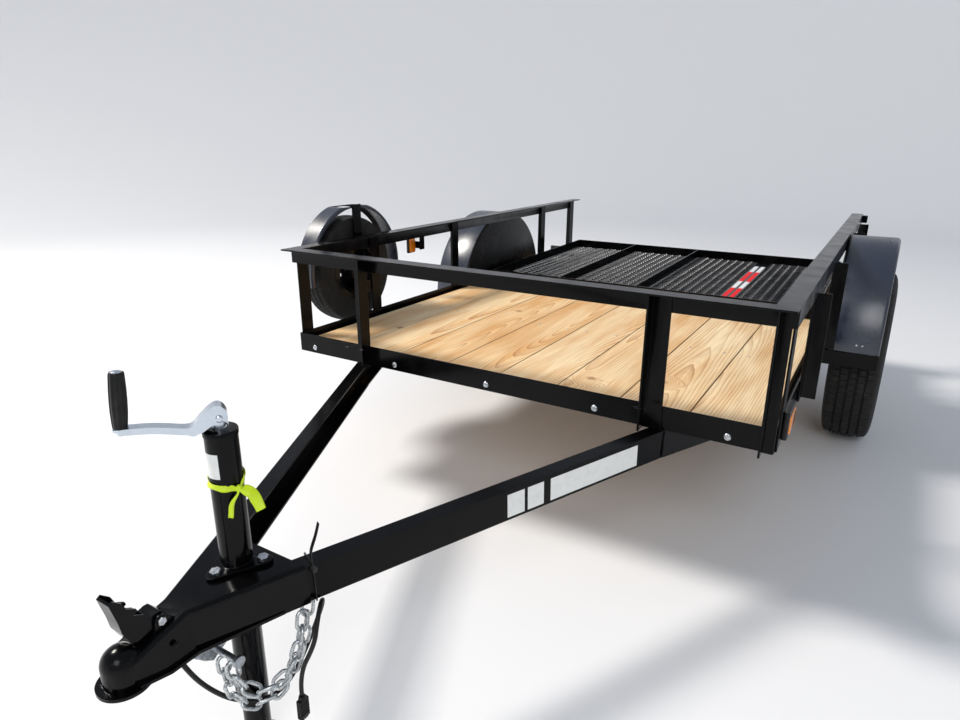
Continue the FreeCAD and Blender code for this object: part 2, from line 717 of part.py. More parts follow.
def tyre_profile(width, radius, bead):
    """Half-section of a tyre: bead, bulged sidewall, shoulder and flat tread."""
    half = width / 2
    return [(-half * 0.72, bead), (-half * 0.98, bead + (radius - bead) * 0.42),
            (-half, bead + (radius - bead) * 0.58), (-half * 0.92, radius - (radius - bead) * 0.16),
            (-half * 0.72, radius), (half * 0.72, radius), (half * 0.92, radius - (radius - bead) * 0.16),
            (half, bead + (radius - bead) * 0.58), (half * 0.98, bead + (radius - bead) * 0.42),
            (half * 0.72, bead)]


def rim_profile(width, bead, well):
    """Half-section of a wheel rim: two flanges, bead seats and a drop centre of a given depth."""
    half = width / 2
    floor = bead - 4 - well
    return [(-half - 6, bead + 14), (-half, bead + 14), (-half + 4, bead - 4), (-half * 0.5, bead - 4),
            (-half * 0.35, floor), (half * 0.35, floor), (half * 0.5, bead - 4), (half - 4, bead - 4),
            (half, bead + 14), (half + 6, bead + 14), (half + 6, bead - 9), (half * 0.55, bead - 9),
            (half * 0.4, floor - 5), (-half * 0.4, floor - 5), (-half * 0.55, bead - 9), (-half - 6, bead - 9)]


def wheel_centre(side):
    """Centre of a running wheel."""
    return FreeCAD.Vector(side * wheel_x, front_y + axle_station, size("tyre_radius"))


def make_tyre(name, side):
    """Running tyre."""
    shape = ring_solid(tyre_profile(size("tyre_width"), size("tyre_radius"), size("rim_radius")),
                       wheel_centre(side))
    return feature(name, shape)


def make_rim(name, side):
    """Steel wheel: drop-centre rim and a dished disc with hand holes and stud holes."""
    centre = wheel_centre(side)
    bead = size("rim_radius")
    rim = ring_solid(rim_profile(size("rim_width"), bead - 0.3, 30), centre)
    s = side
    disc = ring_solid([(s * 2, 41), (s * 8, 41), (s * 8, 78), (s * 30, 110), (s * 14, bead - 36),
                       (s * 6, bead - 36), (s * 22, 110), (s * 2, 84)], centre)
    holes = []
    for index in range(8):
        turn = math.radians(45 * index + 22.5)
        spot = centre + FreeCAD.Vector(-60, 128 * math.cos(turn), 128 * math.sin(turn))
        holes.append(Part.makeCylinder(13, 120, spot, FreeCAD.Vector(1, 0, 0)))
    for index in range(5):
        turn = math.radians(72 * index + 90)
        spot = centre + FreeCAD.Vector(-60, size("stud_circle") * math.cos(turn),
                                       size("stud_circle") * math.sin(turn))
        holes.append(Part.makeCylinder(7, 120, spot, FreeCAD.Vector(1, 0, 0)))
    disc = disc.cut(Part.makeCompound(holes))
    return feature(name, rim.fuse(disc).removeSplitter())


def make_hub(name, side):
    """Hub with its flange, studs, nuts and grease cap, bored for the spindle."""
    centre = wheel_centre(side)
    s = side
    body = ring_solid([(s * -78, 0), (s * -78, 34), (s * -14, 34), (s * -10, 72), (s * 2, 72), (s * 2, 40),
                       (s * 14, 31), (s * 52, 28), (s * 58, 20), (s * 58, 0)], centre)
    axis = FreeCAD.Vector(s, 0, 0)
    parts = []
    for index in range(5):
        turn = math.radians(72 * index + 90)
        spot = centre + FreeCAD.Vector(0, size("stud_circle") * math.cos(turn),
                                       size("stud_circle") * math.sin(turn))
        parts.append(Part.makeCylinder(6.2, 34, spot, axis))
        parts.append(Part.makeCylinder(11, 16, spot + axis * 8, axis))
    body = body.fuse(parts)
    bore = Part.makeCylinder(20.1, 118, centre - axis * 79, axis)
    return feature(name, body.cut(bore))


def make_axle_beam():
    """Axle tube with a stepped spindle at each end."""
    y = front_y + axle_station
    z = size("tyre_radius")
    half = wheel_x
    tube = Part.makeCylinder(size("axle_radius"), 2 * half - 180, FreeCAD.Vector(-half + 90, y, z),
                             FreeCAD.Vector(1, 0, 0))
    spindle = Part.makeCylinder(20, 2 * half + 60, FreeCAD.Vector(-half - 30, y, z), FreeCAD.Vector(1, 0, 0))
    return feature("axle_beam", tube.fuse(spindle).removeSplitter())


def spring_seat():
    """Height over the ground of the spring pack's underside at the axle."""
    return size("tyre_radius") + size("axle_radius") + 6


def make_leaf_spring(name, side):
    """Curved main leaf with rolled eyes over shorter leaves, stepped at their ends."""
    x = side * spring_x - size("spring_wide") / 2
    y = front_y + axle_station
    across = FreeCAD.Vector(size("spring_wide"), 0, 0)
    half = size("spring_span") / 2
    thick = size("leaf_thick")
    count = int(size("leaf_count"))
    radius = (half * half + size("spring_sag") * size("spring_sag")) / (2 * size("spring_sag"))
    low = spring_seat()
    solids = []
    for index in range(count):
        reach = half - (count - 1 - index) * half * 0.2
        base = low + index * thick
        inner = radius - index * thick
        turn = math.asin(reach / radius)
        hub = FreeCAD.Vector(x, y, base + inner)

        def on_arc(r, a):
            return hub + FreeCAD.Vector(0, r * math.sin(a), -r * math.cos(a))

        edges = [Part.Arc(on_arc(inner, -turn), on_arc(inner, 0), on_arc(inner, turn)).toShape(),
                 Part.LineSegment(on_arc(inner, turn), on_arc(inner - thick, turn)).toShape(),
                 Part.Arc(on_arc(inner - thick, turn), on_arc(inner - thick, 0),
                          on_arc(inner - thick, -turn)).toShape(),
                 Part.LineSegment(on_arc(inner - thick, -turn), on_arc(inner, -turn)).toShape()]
        solids.append(Part.Face(Part.Wire(edges)).extrude(across))
    top = solids[0].fuse(solids[1:])
    for end in (-1, 1):
        spot = eye_spot(x, end)
        ring = Part.makeCylinder(size("spring_eye"), size("spring_wide"), spot, FreeCAD.Vector(1, 0, 0))
        top = top.fuse(ring)
    for end in (-1, 1):
        hole = Part.makeCylinder(7.1, size("spring_wide"), eye_spot(x, end), FreeCAD.Vector(1, 0, 0))
        top = top.cut(hole)
    return feature(name, top.removeSplitter())


def eye_spot(x, end):
    """Centre of a spring eye at a lateral place, at the front (-1) or the rear (+1)."""
    y = front_y + axle_station + end * size("spring_span") / 2
    base = spring_seat() + (size("leaf_count") - 1) * size("leaf_thick")
    return FreeCAD.Vector(x, y, base + size("spring_sag") + size("spring_eye") - 2)


def make_spring_hangers():
    """Front hangers and rear shackles, two plates and a bolt each, under the side rails."""
    wide = size("spring_wide") / 2
    solids = []
    for side in (-1, 1):
        for end in (-1, 1):
            eye = eye_spot(side * spring_x, end)
            top = rail_height
            for face in (-1, 1):
                inner = face * (wide + 1)
                plate = Part.makeBox(5, 56, top - eye.z + 16,
                                     FreeCAD.Vector(eye.x + min(inner, inner + face * 5), eye.y - 28, eye.z - 16))
                solids.append(plate)
            roof = Part.makeBox(2 * wide + 12, 56, 5, FreeCAD.Vector(eye.x - wide - 6, eye.y - 28, top - 5))
            bolt = Part.makeCylinder(7, 2 * wide + 24, eye - FreeCAD.Vector(wide + 12, 0, 0),
                                     FreeCAD.Vector(1, 0, 0))
            hanger = solids.pop().fuse([solids.pop(), roof, bolt])
            solids.append(hanger)
    return feature("spring_hangers", Part.makeCompound(solids))


def make_axle_clamps():
    """U-bolts over each spring with a tie plate under the axle and a seat on top of it."""
    y = front_y + axle_station
    z = size("tyre_radius")
    axle = size("axle_radius")
    wide = size("spring_wide") / 2
    pack = size("leaf_count") * size("leaf_thick")
    solids = []
    for side in (-1, 1):
        x = side * spring_x
        seat = Part.makeBox(2 * wide, 90, 14, FreeCAD.Vector(x - wide, y - 45, z + axle - 8))
        seat = seat.cut(Part.makeCylinder(axle, 200, FreeCAD.Vector(x - 100, y, z), FreeCAD.Vector(1, 0, 0)))
        plate = Part.makeBox(2 * wide + 40, 110, 8, FreeCAD.Vector(x - wide - 20, y - 55, z - axle - 8))
        bolts = []
        for step in (-1, 1):
            bolt_y = y + step * (axle + 7)
            for face in (-1, 1):
                bolts.append(Part.makeCylinder(5, 2 * axle + pack + 30,
                                               FreeCAD.Vector(x + face * (wide + 7), bolt_y, z - axle - 14)))
            bolts.append(Part.makeCylinder(5, 2 * wide + 14,
                                           FreeCAD.Vector(x - wide - 7, bolt_y, z + axle + pack + 16),
                                           FreeCAD.Vector(1, 0, 0)))
        solids.append(plate.fuse(bolts))
        solids.append(seat)
    return feature("axle_clamps", Part.makeCompound(solids))


# Fenders


def fender_hub(side):
    """Centre of a fender's arch at the inner face of its side plate."""
    inner = size("bed_width") / 2 + 2 * size("angle_wall")
    return vec(side * inner, axle_station, -size("fender_rise"))


def make_fender(name, side):
    """Round sheet arch with a closed inner side and a lip turned down along the outer edge."""
    hub = fender_hub(side)
    radius = size("fender_radius")
    wall = size("fender_wall")
    width = fender_width
    s = side
    profile = [(0, 1), (0, radius - 8), (s * 3, radius - 2), (s * 8, radius), (s * (width - 12), radius),
               (s * (width - 3), radius - 4), (s * width, radius - 12), (s * width, radius - 26),
               (s * (width - wall), radius - 26), (s * (width - wall), radius - 13),
               (s * (width - 4), radius - 7), (s * (width - 12), radius - wall), (s * 9, radius - wall),
               (s * (wall + 2), radius - 4), (s * wall, radius - 9), (s * wall, 1)]
    solid = ring_solid(profile, hub)
    keep = Part.makeBox(2 * width, 2 * radius + 20, radius + 20,
                        hub + FreeCAD.Vector(-width, -radius - 10, size("fender_rise") - size("fender_foot")))
    return feature(name, solid.common(keep))


def make_fender_brackets():
    """Angle brackets that carry the feet of the fenders, each with a riser to the side rail."""
    solids = []
    wall = size("angle_wall")
    leg_deep = 52
    flat_deep = 38
    foot = -size("fender_foot")
    half = size("bed_width") / 2
    reach = size("fender_radius") + 8
    inner = half - size("rail_leg") + 6
    outer = half + 2 * wall + fender_width
    for side in (-1, 1):
        for end in (-1, 1):
            edge = axle_station + end * reach
            near = edge if end < 0 else edge - wall
            flat = Part.makeBox(outer - inner, flat_deep, wall,
                                vec(min(side * inner, side * outer), edge if end < 0 else edge - flat_deep, foot - wall))
            leg = Part.makeBox(outer - inner, wall, leg_deep,
                               vec(min(side * inner, side * outer), near, foot - leg_deep))
            riser = Part.makeBox(half - inner, wall, leg_deep - foot,
                                 vec(min(side * inner, side * half), near, foot - leg_deep))
            solids.append(flat.fuse([leg, riser]).removeSplitter())
    return feature("fender_brackets", Part.makeCompound(solids))


# Ramp gate, drawn level and then tipped about its hinge pins so that its free end meets the deck

def hinge_point():
    """Middle of the gate's hinge axis."""
    return vec(0, size("bed_length") + size("gate_tube"), size("gate_hinge_rise"))


def tipped(shape):
    """Turn a level gate shape about the hinge axis by the droop."""
    shape.rotate(hinge_point(), FreeCAD.Vector(1, 0, 0), size("gate_droop"))
    return shape


def make_gate_frame():
    """Ring of angle with upright legs outside, and lengthwise ribs on the mesh."""
    base = size("rail_leg") + size("gate_seat")
    half = gate_half
    length = size("gate_length")
    rear = size("bed_length")
    leg = size("gate_leg")
    foot = size("gate_foot")
    wall = size("angle_wall")
    mesh = size("mesh_thick")
    ring = Part.makeBox(2 * half, length, leg, vec(-half, rear - length, base))
    well = Part.makeBox(2 * half - 2 * wall, length - 2 * wall, leg, vec(wall - half, rear - length + wall, base + wall))
    floor = Part.makeBox(2 * half - 2 * foot, length - 2 * foot, 2 * wall,
                         vec(foot - half, rear - length + foot, base - wall))
    solid = ring.cut(Part.makeCompound([well, floor]))
    step = size("gate_rib_step")
    ribs = []
    for index in (-1, 0):
        x = index * step
        rise = base + wall + mesh
        upright = Part.makeBox(wall, length - 2 * wall, leg - wall - mesh, vec(x, rear - length + wall, rise))
        flat = Part.makeBox(foot, length - 2 * wall, wall, vec(x - foot + wall, rear - length + wall, rise))
        ribs += [upright, flat]
    flat_bar = Part.makeBox(64, length - 2 * wall, wall, vec(step - 32, rear - length + wall, base + wall + mesh))
    ribs.append(flat_bar)
    return feature("gate_frame", tipped(solid.fuse(ribs).removeSplitter()))


def make_gate_mesh():
    """Sheet of expanded metal on the flat legs, with its diamonds drawn coarse."""
    base = size("rail_leg") + size("gate_seat") + size("angle_wall")
    wall = size("angle_wall")
    half = gate_half - wall - 0.5
    length = size("gate_length") - 2 * wall - 1
    low = size("bed_length") - size("gate_length") + wall + 0.5
    sheet_solid = Part.makeBox(2 * half, length, size("mesh_thick"), vec(-half, low, base))
    columns = 8
    rows = 9
    step_x = 2 * half / columns
    step_y = length / rows
    diamonds = []
    for row in range(2 * rows - 1):
        for column in range(columns - row % 2):
            x = -half + step_x * (column + 0.5 + 0.5 * (row % 2))
            y = low + step_y * (row + 1) / 2
            corners = [vec(x - step_x * 0.42, y, base - 1), vec(x, y - step_y * 0.38, base - 1),
                       vec(x + step_x * 0.42, y, base - 1), vec(x, y + step_y * 0.38, base - 1)]
            face = Part.Face(Part.makePolygon(corners + corners[:1]))
            diamonds.append(face.extrude(FreeCAD.Vector(0, 0, size("mesh_thick") + 2)))
    return feature("gate_mesh", tipped(sheet_solid.cut(Part.makeCompound(diamonds))))


def make_gate_pins():
    """Two hinge pins held by straps that are welded to the gate's rear leg."""
    hub = hinge_point()
    across = FreeCAD.Vector(1, 0, 0)
    reach = -size("gate_tube")
    side_line = [(reach, 18), (reach, 40), (reach + 4, 40), (7.5, 5), (-8.5, 2.5)]
    solids = []
    for side in (-1, 1):
        middle = hub + across * side * size("gate_hinge_x")
        rod = Part.makeCylinder(size("gate_pin"), 120, middle - across * 60, across)
        straps = []
        for end in (-1, 1):
            corner = middle + across * (end * 52 - 4)
            plate = Part.Face(Part.makePolygon([corner + FreeCAD.Vector(0, y, z)
                                                for y, z in side_line + side_line[:1]]))
            straps.append(plate.extrude(across * 8))
            straps.append(Part.makeCylinder(9, 8, corner, across))
        solids.append(rod.fuse(straps).removeSplitter())
    return feature("gate_pins", tipped(Part.makeCompound(solids)))


def make_gate_tubes():
    """Hinge tubes welded to the rear face of the bed frame."""
    hub = hinge_point()
    solids = []
    for side in (-1, 1):
        start = FreeCAD.Vector(side * size("gate_hinge_x") - 40, hub.y, hub.z)
        tube = Part.makeCylinder(size("gate_tube"), 80, start, FreeCAD.Vector(1, 0, 0))
        bore = Part.makeCylinder(size("gate_pin") + 0.1, 80, start, FreeCAD.Vector(1, 0, 0))
        solids.append(tube.cut(bore))
    return feature("gate_hinge_tubes", Part.makeCompound(solids))


def make_gate_latches():
    """Latch housings on the outer faces at the rear ends of the side rails."""
    items = []
    for name, side in (("Road", 1), ("Curb", -1)):
        x = TOP_HALF if side > 0 else "-%s - 22" % TOP_HALF
        items.append(box("Latch" + name, "22", "34", "34", x, at_station("bed_length - 34"),
                         over_rail("top_rise - 40")))
    return group("gate_latches", items)


# Lamps


def make_marker_lamps():
    """Amber side lamps: low at the road-side front corner, high behind the spare on the curb side."""
    road = box("MarkerRoad", "17", "105", "70", "bed_width / 2 + angle_wall", at_station("52"), over_rail("18"))
    curb = box("MarkerCurb", "20", "44", "62", "-(bed_width / 2 + 70)", at_station("700"), over_rail("235"))
    return group("marker_lamps", [road, curb])


def make_lamp_brackets():
    """Folded brackets that carry the side lamps and the tail lamps."""
    road = box("BracketRoad", "angle_wall", "80", "25", "bed_width / 2", at_station("70"), over_rail("30"))
    curb = box("BracketCurb", "60 - angle_wall", "5", "30", "-(bed_width / 2 + 70)", at_station("744"),
               over_rail("252"))
    tab = box("BracketCurbTab", "angle_wall", "30", "90", "-(bed_width / 2 + 3 * angle_wall)", at_station("719"),
              over_rail("252"))
    items = [road, fuse("BracketCurbBent", [curb, tab])]
    for name, side in (("Road", 1), ("Curb", -1)):
        x = "bed_width / 2" if side > 0 else "-bed_width / 2 - 120"
        items.append(box("TailBracket" + name, "120", "5", "50", x, at_station("bed_length - 60"),
                         over_rail("0")))
    return group("lamp_brackets", items)


def make_tail_lamps():
    """Square red lamps behind the fenders."""
    items = []
    for name, side in (("Road", 1), ("Curb", -1)):
        x = "bed_width / 2 + 20" if side > 0 else "-bed_width / 2 - 120"
        items.append(box("TailLamp" + name, "100", "40", "90", x, at_station("bed_length - 55"),
                         over_rail("-20")))
    return group("tail_lamps", items)


# Spare wheel outside the curb-side rail


def spare_centre():
    """Centre of the spare wheel."""
    return vec(-size("bed_width") / 2 - size("spare_gap") - size("spare_width") / 2, size("spare_station"), size("spare_rise"))


def guard_centre():
    """Middle of the guard over the spare, whose near edge stands inboard of the tyre."""
    return spare_centre() + FreeCAD.Vector(size("spare_width") / 2 + 6 - size("guard_width") / 2, 0, 0)


def make_spare_tyre():
    """Small spare tyre."""
    return feature("spare_tyre", ring_solid(tyre_profile(size("spare_width"), size("spare_radius"), size("spare_bead")),
                                            spare_centre()))


def make_spare_rim():
    """Small steel wheel, its disc towards the trailer."""
    centre = spare_centre()
    rim = ring_solid(rim_profile(0.82 * size("spare_width"), size("spare_bead") - 0.3, 8), centre)
    edge = size("spare_bead") - 15
    disc = ring_solid([(6, 34), (12, 34), (12, edge), (6, edge)], centre)
    holes = []
    for index in range(5):
        turn = math.radians(72 * index - 90)
        spot = centre + FreeCAD.Vector(-20, size("stud_circle") * math.cos(turn),
                                       size("stud_circle") * math.sin(turn))
        holes.append(Part.makeCylinder(6.5, 60, spot, FreeCAD.Vector(1, 0, 0)))
    return feature("spare_rim", rim.fuse(disc.cut(Part.makeCompound(holes))).removeSplitter())


def make_spare_guard():
    """Round sheet guard over the upper half of the spare, with a rolled lip on both edges."""
    centre = guard_centre()
    radius = size("guard_radius")
    half = size("guard_width") / 2
    profile = [(-half, radius - 14), (-half, radius - 5), (-half + 5, radius), (half - 5, radius),
               (half, radius - 5), (half, radius - 14), (half - 2, radius - 14), (half - 2, radius - 6),
               (half - 6, radius - 2), (-half + 6, radius - 2), (-half + 2, radius - 6), (-half + 2, radius - 14)]
    solid = ring_solid(profile, centre)
    keep = Part.makeBox(400, 2 * radius + 20, radius + 20, centre + FreeCAD.Vector(-200, -radius - 10, -30))
    return feature("spare_guard", solid.common(keep))


def make_spare_carrier():
    """Plate and stud that hold the spare to the side post, with struts out to the guard."""
    centre = spare_centre()
    inner = -size("bed_width") / 2 - size("angle_wall")
    disc_x = centre.x + 12
    y = centre.y
    low = size("stud_circle")
    bar = Part.makeBox(6, 125, 40, FreeCAD.Vector(inner - 6, y - 60, centre.z - low - 20))
    stud = Part.makeCylinder(6, inner - disc_x + 12, FreeCAD.Vector(disc_x - 12, y, centre.z - low),
                             FreeCAD.Vector(1, 0, 0))
    spacer = Part.makeCylinder(20, inner - 6 - disc_x, FreeCAD.Vector(disc_x, y, centre.z - low),
                               FreeCAD.Vector(1, 0, 0))
    guard_x = guard_centre().x + size("guard_width") / 2
    stay = Part.makeBox(5, 44, size("guard_radius") - 2 + low + 24,
                        FreeCAD.Vector(guard_x, y - 22, centre.z - low - 24))
    return feature("spare_carrier", bar.fuse([stud, spacer, stay]).removeSplitter())


# Safety chains, their bracket and the wiring, hung under the tongue
# x, distance behind the coupler's tip and rise over the bed's underside of each chain's points
CHAIN_ROUTES = [
    [(54, 200, -182.3), (55, 200, -205), (64, 209, -232), (84, 228, -250), (106, 253, -240),
     (120, 283, -205), (120, 303, -160), (116, 315, -124.7)],
    [(28, 200, -182.3), (32, 203, -240), (46, 221, -290), (66, 251, -302), (84, 287, -275),
     (94, 319, -220), (98, 337, -165), (98, 345, -124.4)],
]


def smooth_line(points):
    """Smooth curve through the points of a chain."""
    curve = Part.BSplineCurve()
    curve.interpolate([behind_tip(*point) for point in points])
    return curve


def chain_link():
    """One link lying along X: a flat octagonal ring of square bar."""
    wire = size("chain_wire")
    long_half = size("chain_pitch") / 2 + wire + 0.75
    wide_half = wire * 1.95
    rings = []
    for shrink in (0, wire):
        a = long_half - shrink
        b = wide_half - shrink
        c = b * 0.55
        spots = [(a, -c), (a, c), (a - c, b), (c - a, b), (-a, c), (-a, -c), (c - a, -b), (a - c, -b)]
        ring = Part.makePolygon([FreeCAD.Vector(x, y, -wire / 2) for x, y in spots + spots[:1]])
        rings.append(Part.Face(ring).extrude(FreeCAD.Vector(0, 0, wire)))
    return rings[0].cut(rings[1])


def make_safety_chains():
    """Two chains of links turned a quarter turn from each other, hung in loops."""
    link = chain_link()
    links = []
    for route in CHAIN_ROUTES:
        curve = smooth_line(route)
        length = curve.length()
        count = int(length / size("chain_pitch"))
        for index in range(count):
            spot = curve.parameterAtDistance((index + 0.5) * length / count)
            along = curve.tangent(spot)[0]
            side = along.cross(FreeCAD.Vector(0, 0, 1)).normalize()
            roll = FreeCAD.Rotation(along, side, along.cross(side), "XYZ")
            turn = FreeCAD.Rotation(FreeCAD.Vector(1, 0, 0), 45 + 90 * (index % 2))
            copy = link.copy()
            copy.Placement = FreeCAD.Placement(curve.value(spot), roll * turn)
            links.append(copy)
    return feature("safety_chains", Part.makeCompound(links))


def make_chain_bracket():
    """Gusset under the neck with the bolt that holds the chains."""
    x = 9.5
    foot = -size("beam_deep") - 2
    outline = [(121, foot + 1), (223, foot + 1), (215, foot - 44), (183, foot - 62), (167, foot - 50)]
    points = [behind_tip(x, y, z) for y, z in outline]
    plate = Part.Face(Part.makePolygon(points + points[:1])).extrude(FreeCAD.Vector(6, 0, 0))
    bolt = Part.makeCylinder(6, 70, behind_tip(x - 8, 193, foot - 44), FreeCAD.Vector(1, 0, 0))
    head = Part.makeCylinder(11, 8, behind_tip(x + 60, 193, foot - 44), FreeCAD.Vector(1, 0, 0))
    return feature("chain_bracket", drooped(plate.fuse([bolt, head]).removeSplitter()))


# Wiring cable: out of the neck, down in a loop, up to the tie and down to its plug
CABLE_ROUTE = [
    (20.2, 119, -112), (21, 137, -168), (20, 175, -240), (20, 221, -302), (44, 271, -330), (52, 321, -322),
    (70, 351, -270), (100, 361, -190), (124, 357, -124), (134, 347, -114), (142, 333, -124), (140, 315, -190),
    (116, 305, -262), (90, 315, -330),
]


def cable_run(points):
    """Line through a cable's points with each corner rounded as far as its runs allow."""
    spots = [behind_tip(*point) for point in points]
    edges = []
    start = spots[0]
    for index in range(1, len(spots) - 1):
        before = spots[index - 1] - spots[index]
        after = spots[index + 1] - spots[index]
        turn = math.pi - before.getAngle(after)
        shorter = min(before.Length, after.Length)
        setback = 0.45 * shorter
        radius = setback / math.tan(turn / 2)
        a = spots[index] + before.normalize() * setback
        b = spots[index] + after.normalize() * setback
        inward = (before + after).normalize()
        centre = spots[index] + inward * math.hypot(radius, setback)
        middle = centre - inward * radius
        edges.append(Part.LineSegment(start, a).toShape())
        edges.append(Part.Arc(a, middle, b).toShape())
        start = b
    edges.append(Part.LineSegment(start, spots[-1]).toShape())
    return Part.Wire(edges)


def make_harness_cable():
    """Round wiring cable swept along its run."""
    wire = cable_run(CABLE_ROUTE)
    start = wire.Edges[0]
    section = Part.Wire(Part.Circle(start.valueAt(start.FirstParameter), start.tangentAt(start.FirstParameter),
                                    size("cable_thick") / 2).toShape())
    return feature("harness_cable", wire.makePipeShell([section], True, False))


def make_harness_plug():
    """Flat plug at the cable's end, hanging down."""
    x, y, z = CABLE_ROUTE[-1]
    body = Part.makeBox(14, 24, 50, behind_tip(x - 7, y - 12, z - 60))
    neck = Part.makeCone(9, 6.5, 10, behind_tip(x, y, z - 11.4))
    return feature("harness_plug", body.fuse(neck).removeSplitter())


MAKERS = [
    make_bed_frame, make_cross_angles, make_deck, make_top_rail, make_front_posts, make_side_posts,
    make_coupler, make_coupler_latch, make_jack_tube, make_jack_leg, make_jack_crank, make_jack_grip,
    make_axle_beam, make_spring_hangers, make_axle_clamps, make_fender_brackets, make_gate_frame,
    make_gate_mesh, make_gate_pins, make_gate_tubes, make_gate_latches, make_marker_lamps,
    make_lamp_brackets, make_tail_lamps, make_spare_tyre, make_spare_rim, make_spare_guard,
    make_spare_carrier, make_safety_chains, make_chain_bracket, make_harness_cable, make_harness_plug,
]
PAIRED = [
    ("tyre", make_tyre), ("rim", make_rim), ("hub", make_hub), ("leaf_spring", make_leaf_spring),
    ("fender", make_fender),
]


def check_state():
    """Stop if any object failed or any shape is missing or broken."""
    for item in doc.Objects:
        if "Invalid" in item.State or "Error" in item.State:
            raise RuntimeError("%s did not build: %s" % (item.Name, item.State))


def main():
    """Build every sub-part, check it and write its file."""
    nodes = [maker() for maker in MAKERS]
    beam = make_tongue_beam()
    nodes += [beam, mirrored("tongue_beam_curbside", beam)]
    for name, maker in PAIRED:
        for word, side in (("roadside", 1), ("curbside", -1)):
            nodes.append(maker("%s_%s" % (name, word), side))
    doc.recompute()
    check_state()
    os.makedirs("parts", exist_ok=True)
    for node in nodes:
        node.Label = node.Name
        shape = node.Shape
        if shape.isNull() or not shape.isValid():
            raise RuntimeError("%s has no valid shape" % node.Name)
        shape.exportStep("parts/%s.step" % node.Name)
        bounds = shape.BoundBox
        print("%-22s solids %2d volume %9.0f  x %.0f %.0f  y %.0f %.0f  z %.0f %.0f" % (
            node.Name, len(shape.Solids), shape.Volume, bounds.XMin, bounds.XMax, bounds.YMin, bounds.YMax,
            bounds.ZMin, bounds.ZMax))


main()
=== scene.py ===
"""Looks of a single-axle utility trailer with a mesh ramp gate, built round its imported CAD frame.

Metres. +X is the road side, -Y the coupler end, +Z up, and the ground is Z = 0. A station is a distance
behind the front face of the bed, and a rise is a height over the underside of the bed frame.
"""

import logging
import math
from dataclasses import dataclass, field
from enum import Enum
from typing import Callable, Sequence

import bmesh
import bpy
import numpy as np
from mathutils import Matrix, Vector


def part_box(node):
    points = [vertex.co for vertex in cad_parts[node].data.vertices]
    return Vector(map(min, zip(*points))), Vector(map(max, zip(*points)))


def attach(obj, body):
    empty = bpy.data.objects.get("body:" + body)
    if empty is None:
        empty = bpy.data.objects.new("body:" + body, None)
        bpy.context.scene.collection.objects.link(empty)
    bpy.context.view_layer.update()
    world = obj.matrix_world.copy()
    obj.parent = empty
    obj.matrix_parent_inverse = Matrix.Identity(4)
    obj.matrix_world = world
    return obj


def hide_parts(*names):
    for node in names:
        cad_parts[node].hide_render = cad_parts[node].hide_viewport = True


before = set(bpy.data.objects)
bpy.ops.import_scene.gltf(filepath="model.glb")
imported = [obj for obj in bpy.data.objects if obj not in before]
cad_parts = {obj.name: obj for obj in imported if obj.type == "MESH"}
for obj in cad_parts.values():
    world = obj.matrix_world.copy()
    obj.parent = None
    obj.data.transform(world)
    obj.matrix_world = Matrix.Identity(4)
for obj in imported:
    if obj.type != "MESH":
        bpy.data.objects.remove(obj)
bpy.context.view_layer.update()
LOG = logging.getLogger("trailer")

BED_FRONT = -0.561
RAIL_UNDERSIDE = 0.465
TONGUE_DROOP = math.radians(2.68)
BEAM_FACE = 0.512  # a channel's web at the bed's front, from the middle plane
BEAM_SLANT = 0.46629
GATE_HINGE = (1.730, 0.513)
GATE_DROOP = math.radians(0.95)
STUD_CIRCLE = 0.05715
COAT_ROUGHNESS = 0.06
COLOUR_MIX = {"out": 2, "data_type": "RGBA"}  # a Mix node's colour output, and its setting for colours

Socket = bpy.types.NodeSocket
Spot = Sequence[float]
UP = (0, 0, 1)
ALONG_X = (1, 0, 0)
FORWARD = (0, -1, 0)


# Small tools


def linear(code: str) -> tuple[float, ...]:
    """Turns an sRGB hex value, such as "#c8cacc", into the linear colour that a shader takes."""
    parts = np.array([int(code[i:i + 2], 16) for i in (1, 3, 5)]) / 255
    low, high = parts / 12.92, ((parts + 0.055) / 1.055) ** 2.4
    return (*np.where(parts <= 0.04045, low, high).tolist(), 1.0)


def at(x: float, station: float, rise: float) -> np.ndarray:
    """Point from a lateral place, a station and a rise."""
    return np.array([x, BED_FRONT + station, RAIL_UNDERSIDE + rise])


def on_tongue(x: float, station: float, rise: float) -> np.ndarray:
    """Point given as if the tongue were level, turned down with it about the bed's lower front edge."""
    c, s = math.cos(TONGUE_DROOP), math.sin(TONGUE_DROOP)
    return at(x, station * c - rise * s, station * s + rise * c)


def on_beam(along: float, rise: float, out: float) -> np.ndarray:
    """Point at a station and a rise on the road-side channel, and a distance out of its web."""
    c = 1 / math.hypot(1, BEAM_SLANT)
    return on_tongue(BEAM_FACE + along * BEAM_SLANT + out * c, along - out * c * BEAM_SLANT, rise)


def on_gate(x: float, station: float, rise: float) -> np.ndarray:
    """Point given as if the folded gate were level, turned down with it about its hinge."""
    y, z = BED_FRONT + station - GATE_HINGE[0], RAIL_UNDERSIDE + rise - GATE_HINGE[1]
    c, s = math.cos(GATE_DROOP), math.sin(GATE_DROOP)
    return np.array([x, GATE_HINGE[0] + y * c - z * s, GATE_HINGE[1] + y * s + z * c])


def unit(vector: Spot | np.ndarray) -> np.ndarray:
    """The vector or vectors, one metre long."""
    vector = np.asarray(vector, float)
    return vector / np.linalg.norm(vector, axis=-1, keepdims=True)


def steps_between(points: np.ndarray) -> np.ndarray:
    """Distances from each point to the next."""
    return np.linalg.norm(np.diff(points, axis=0), axis=1)


def angles(count: int) -> np.ndarray:
    """Angles that divide a full turn evenly."""
    return np.arange(count) * 2 * np.pi / count


def cad_box(node: str) -> tuple[np.ndarray, np.ndarray, np.ndarray]:
    """A CAD node's lowest corner, highest corner and middle."""
    low, high = (np.array(corner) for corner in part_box(node))
    return low, high, (low + high) / 2


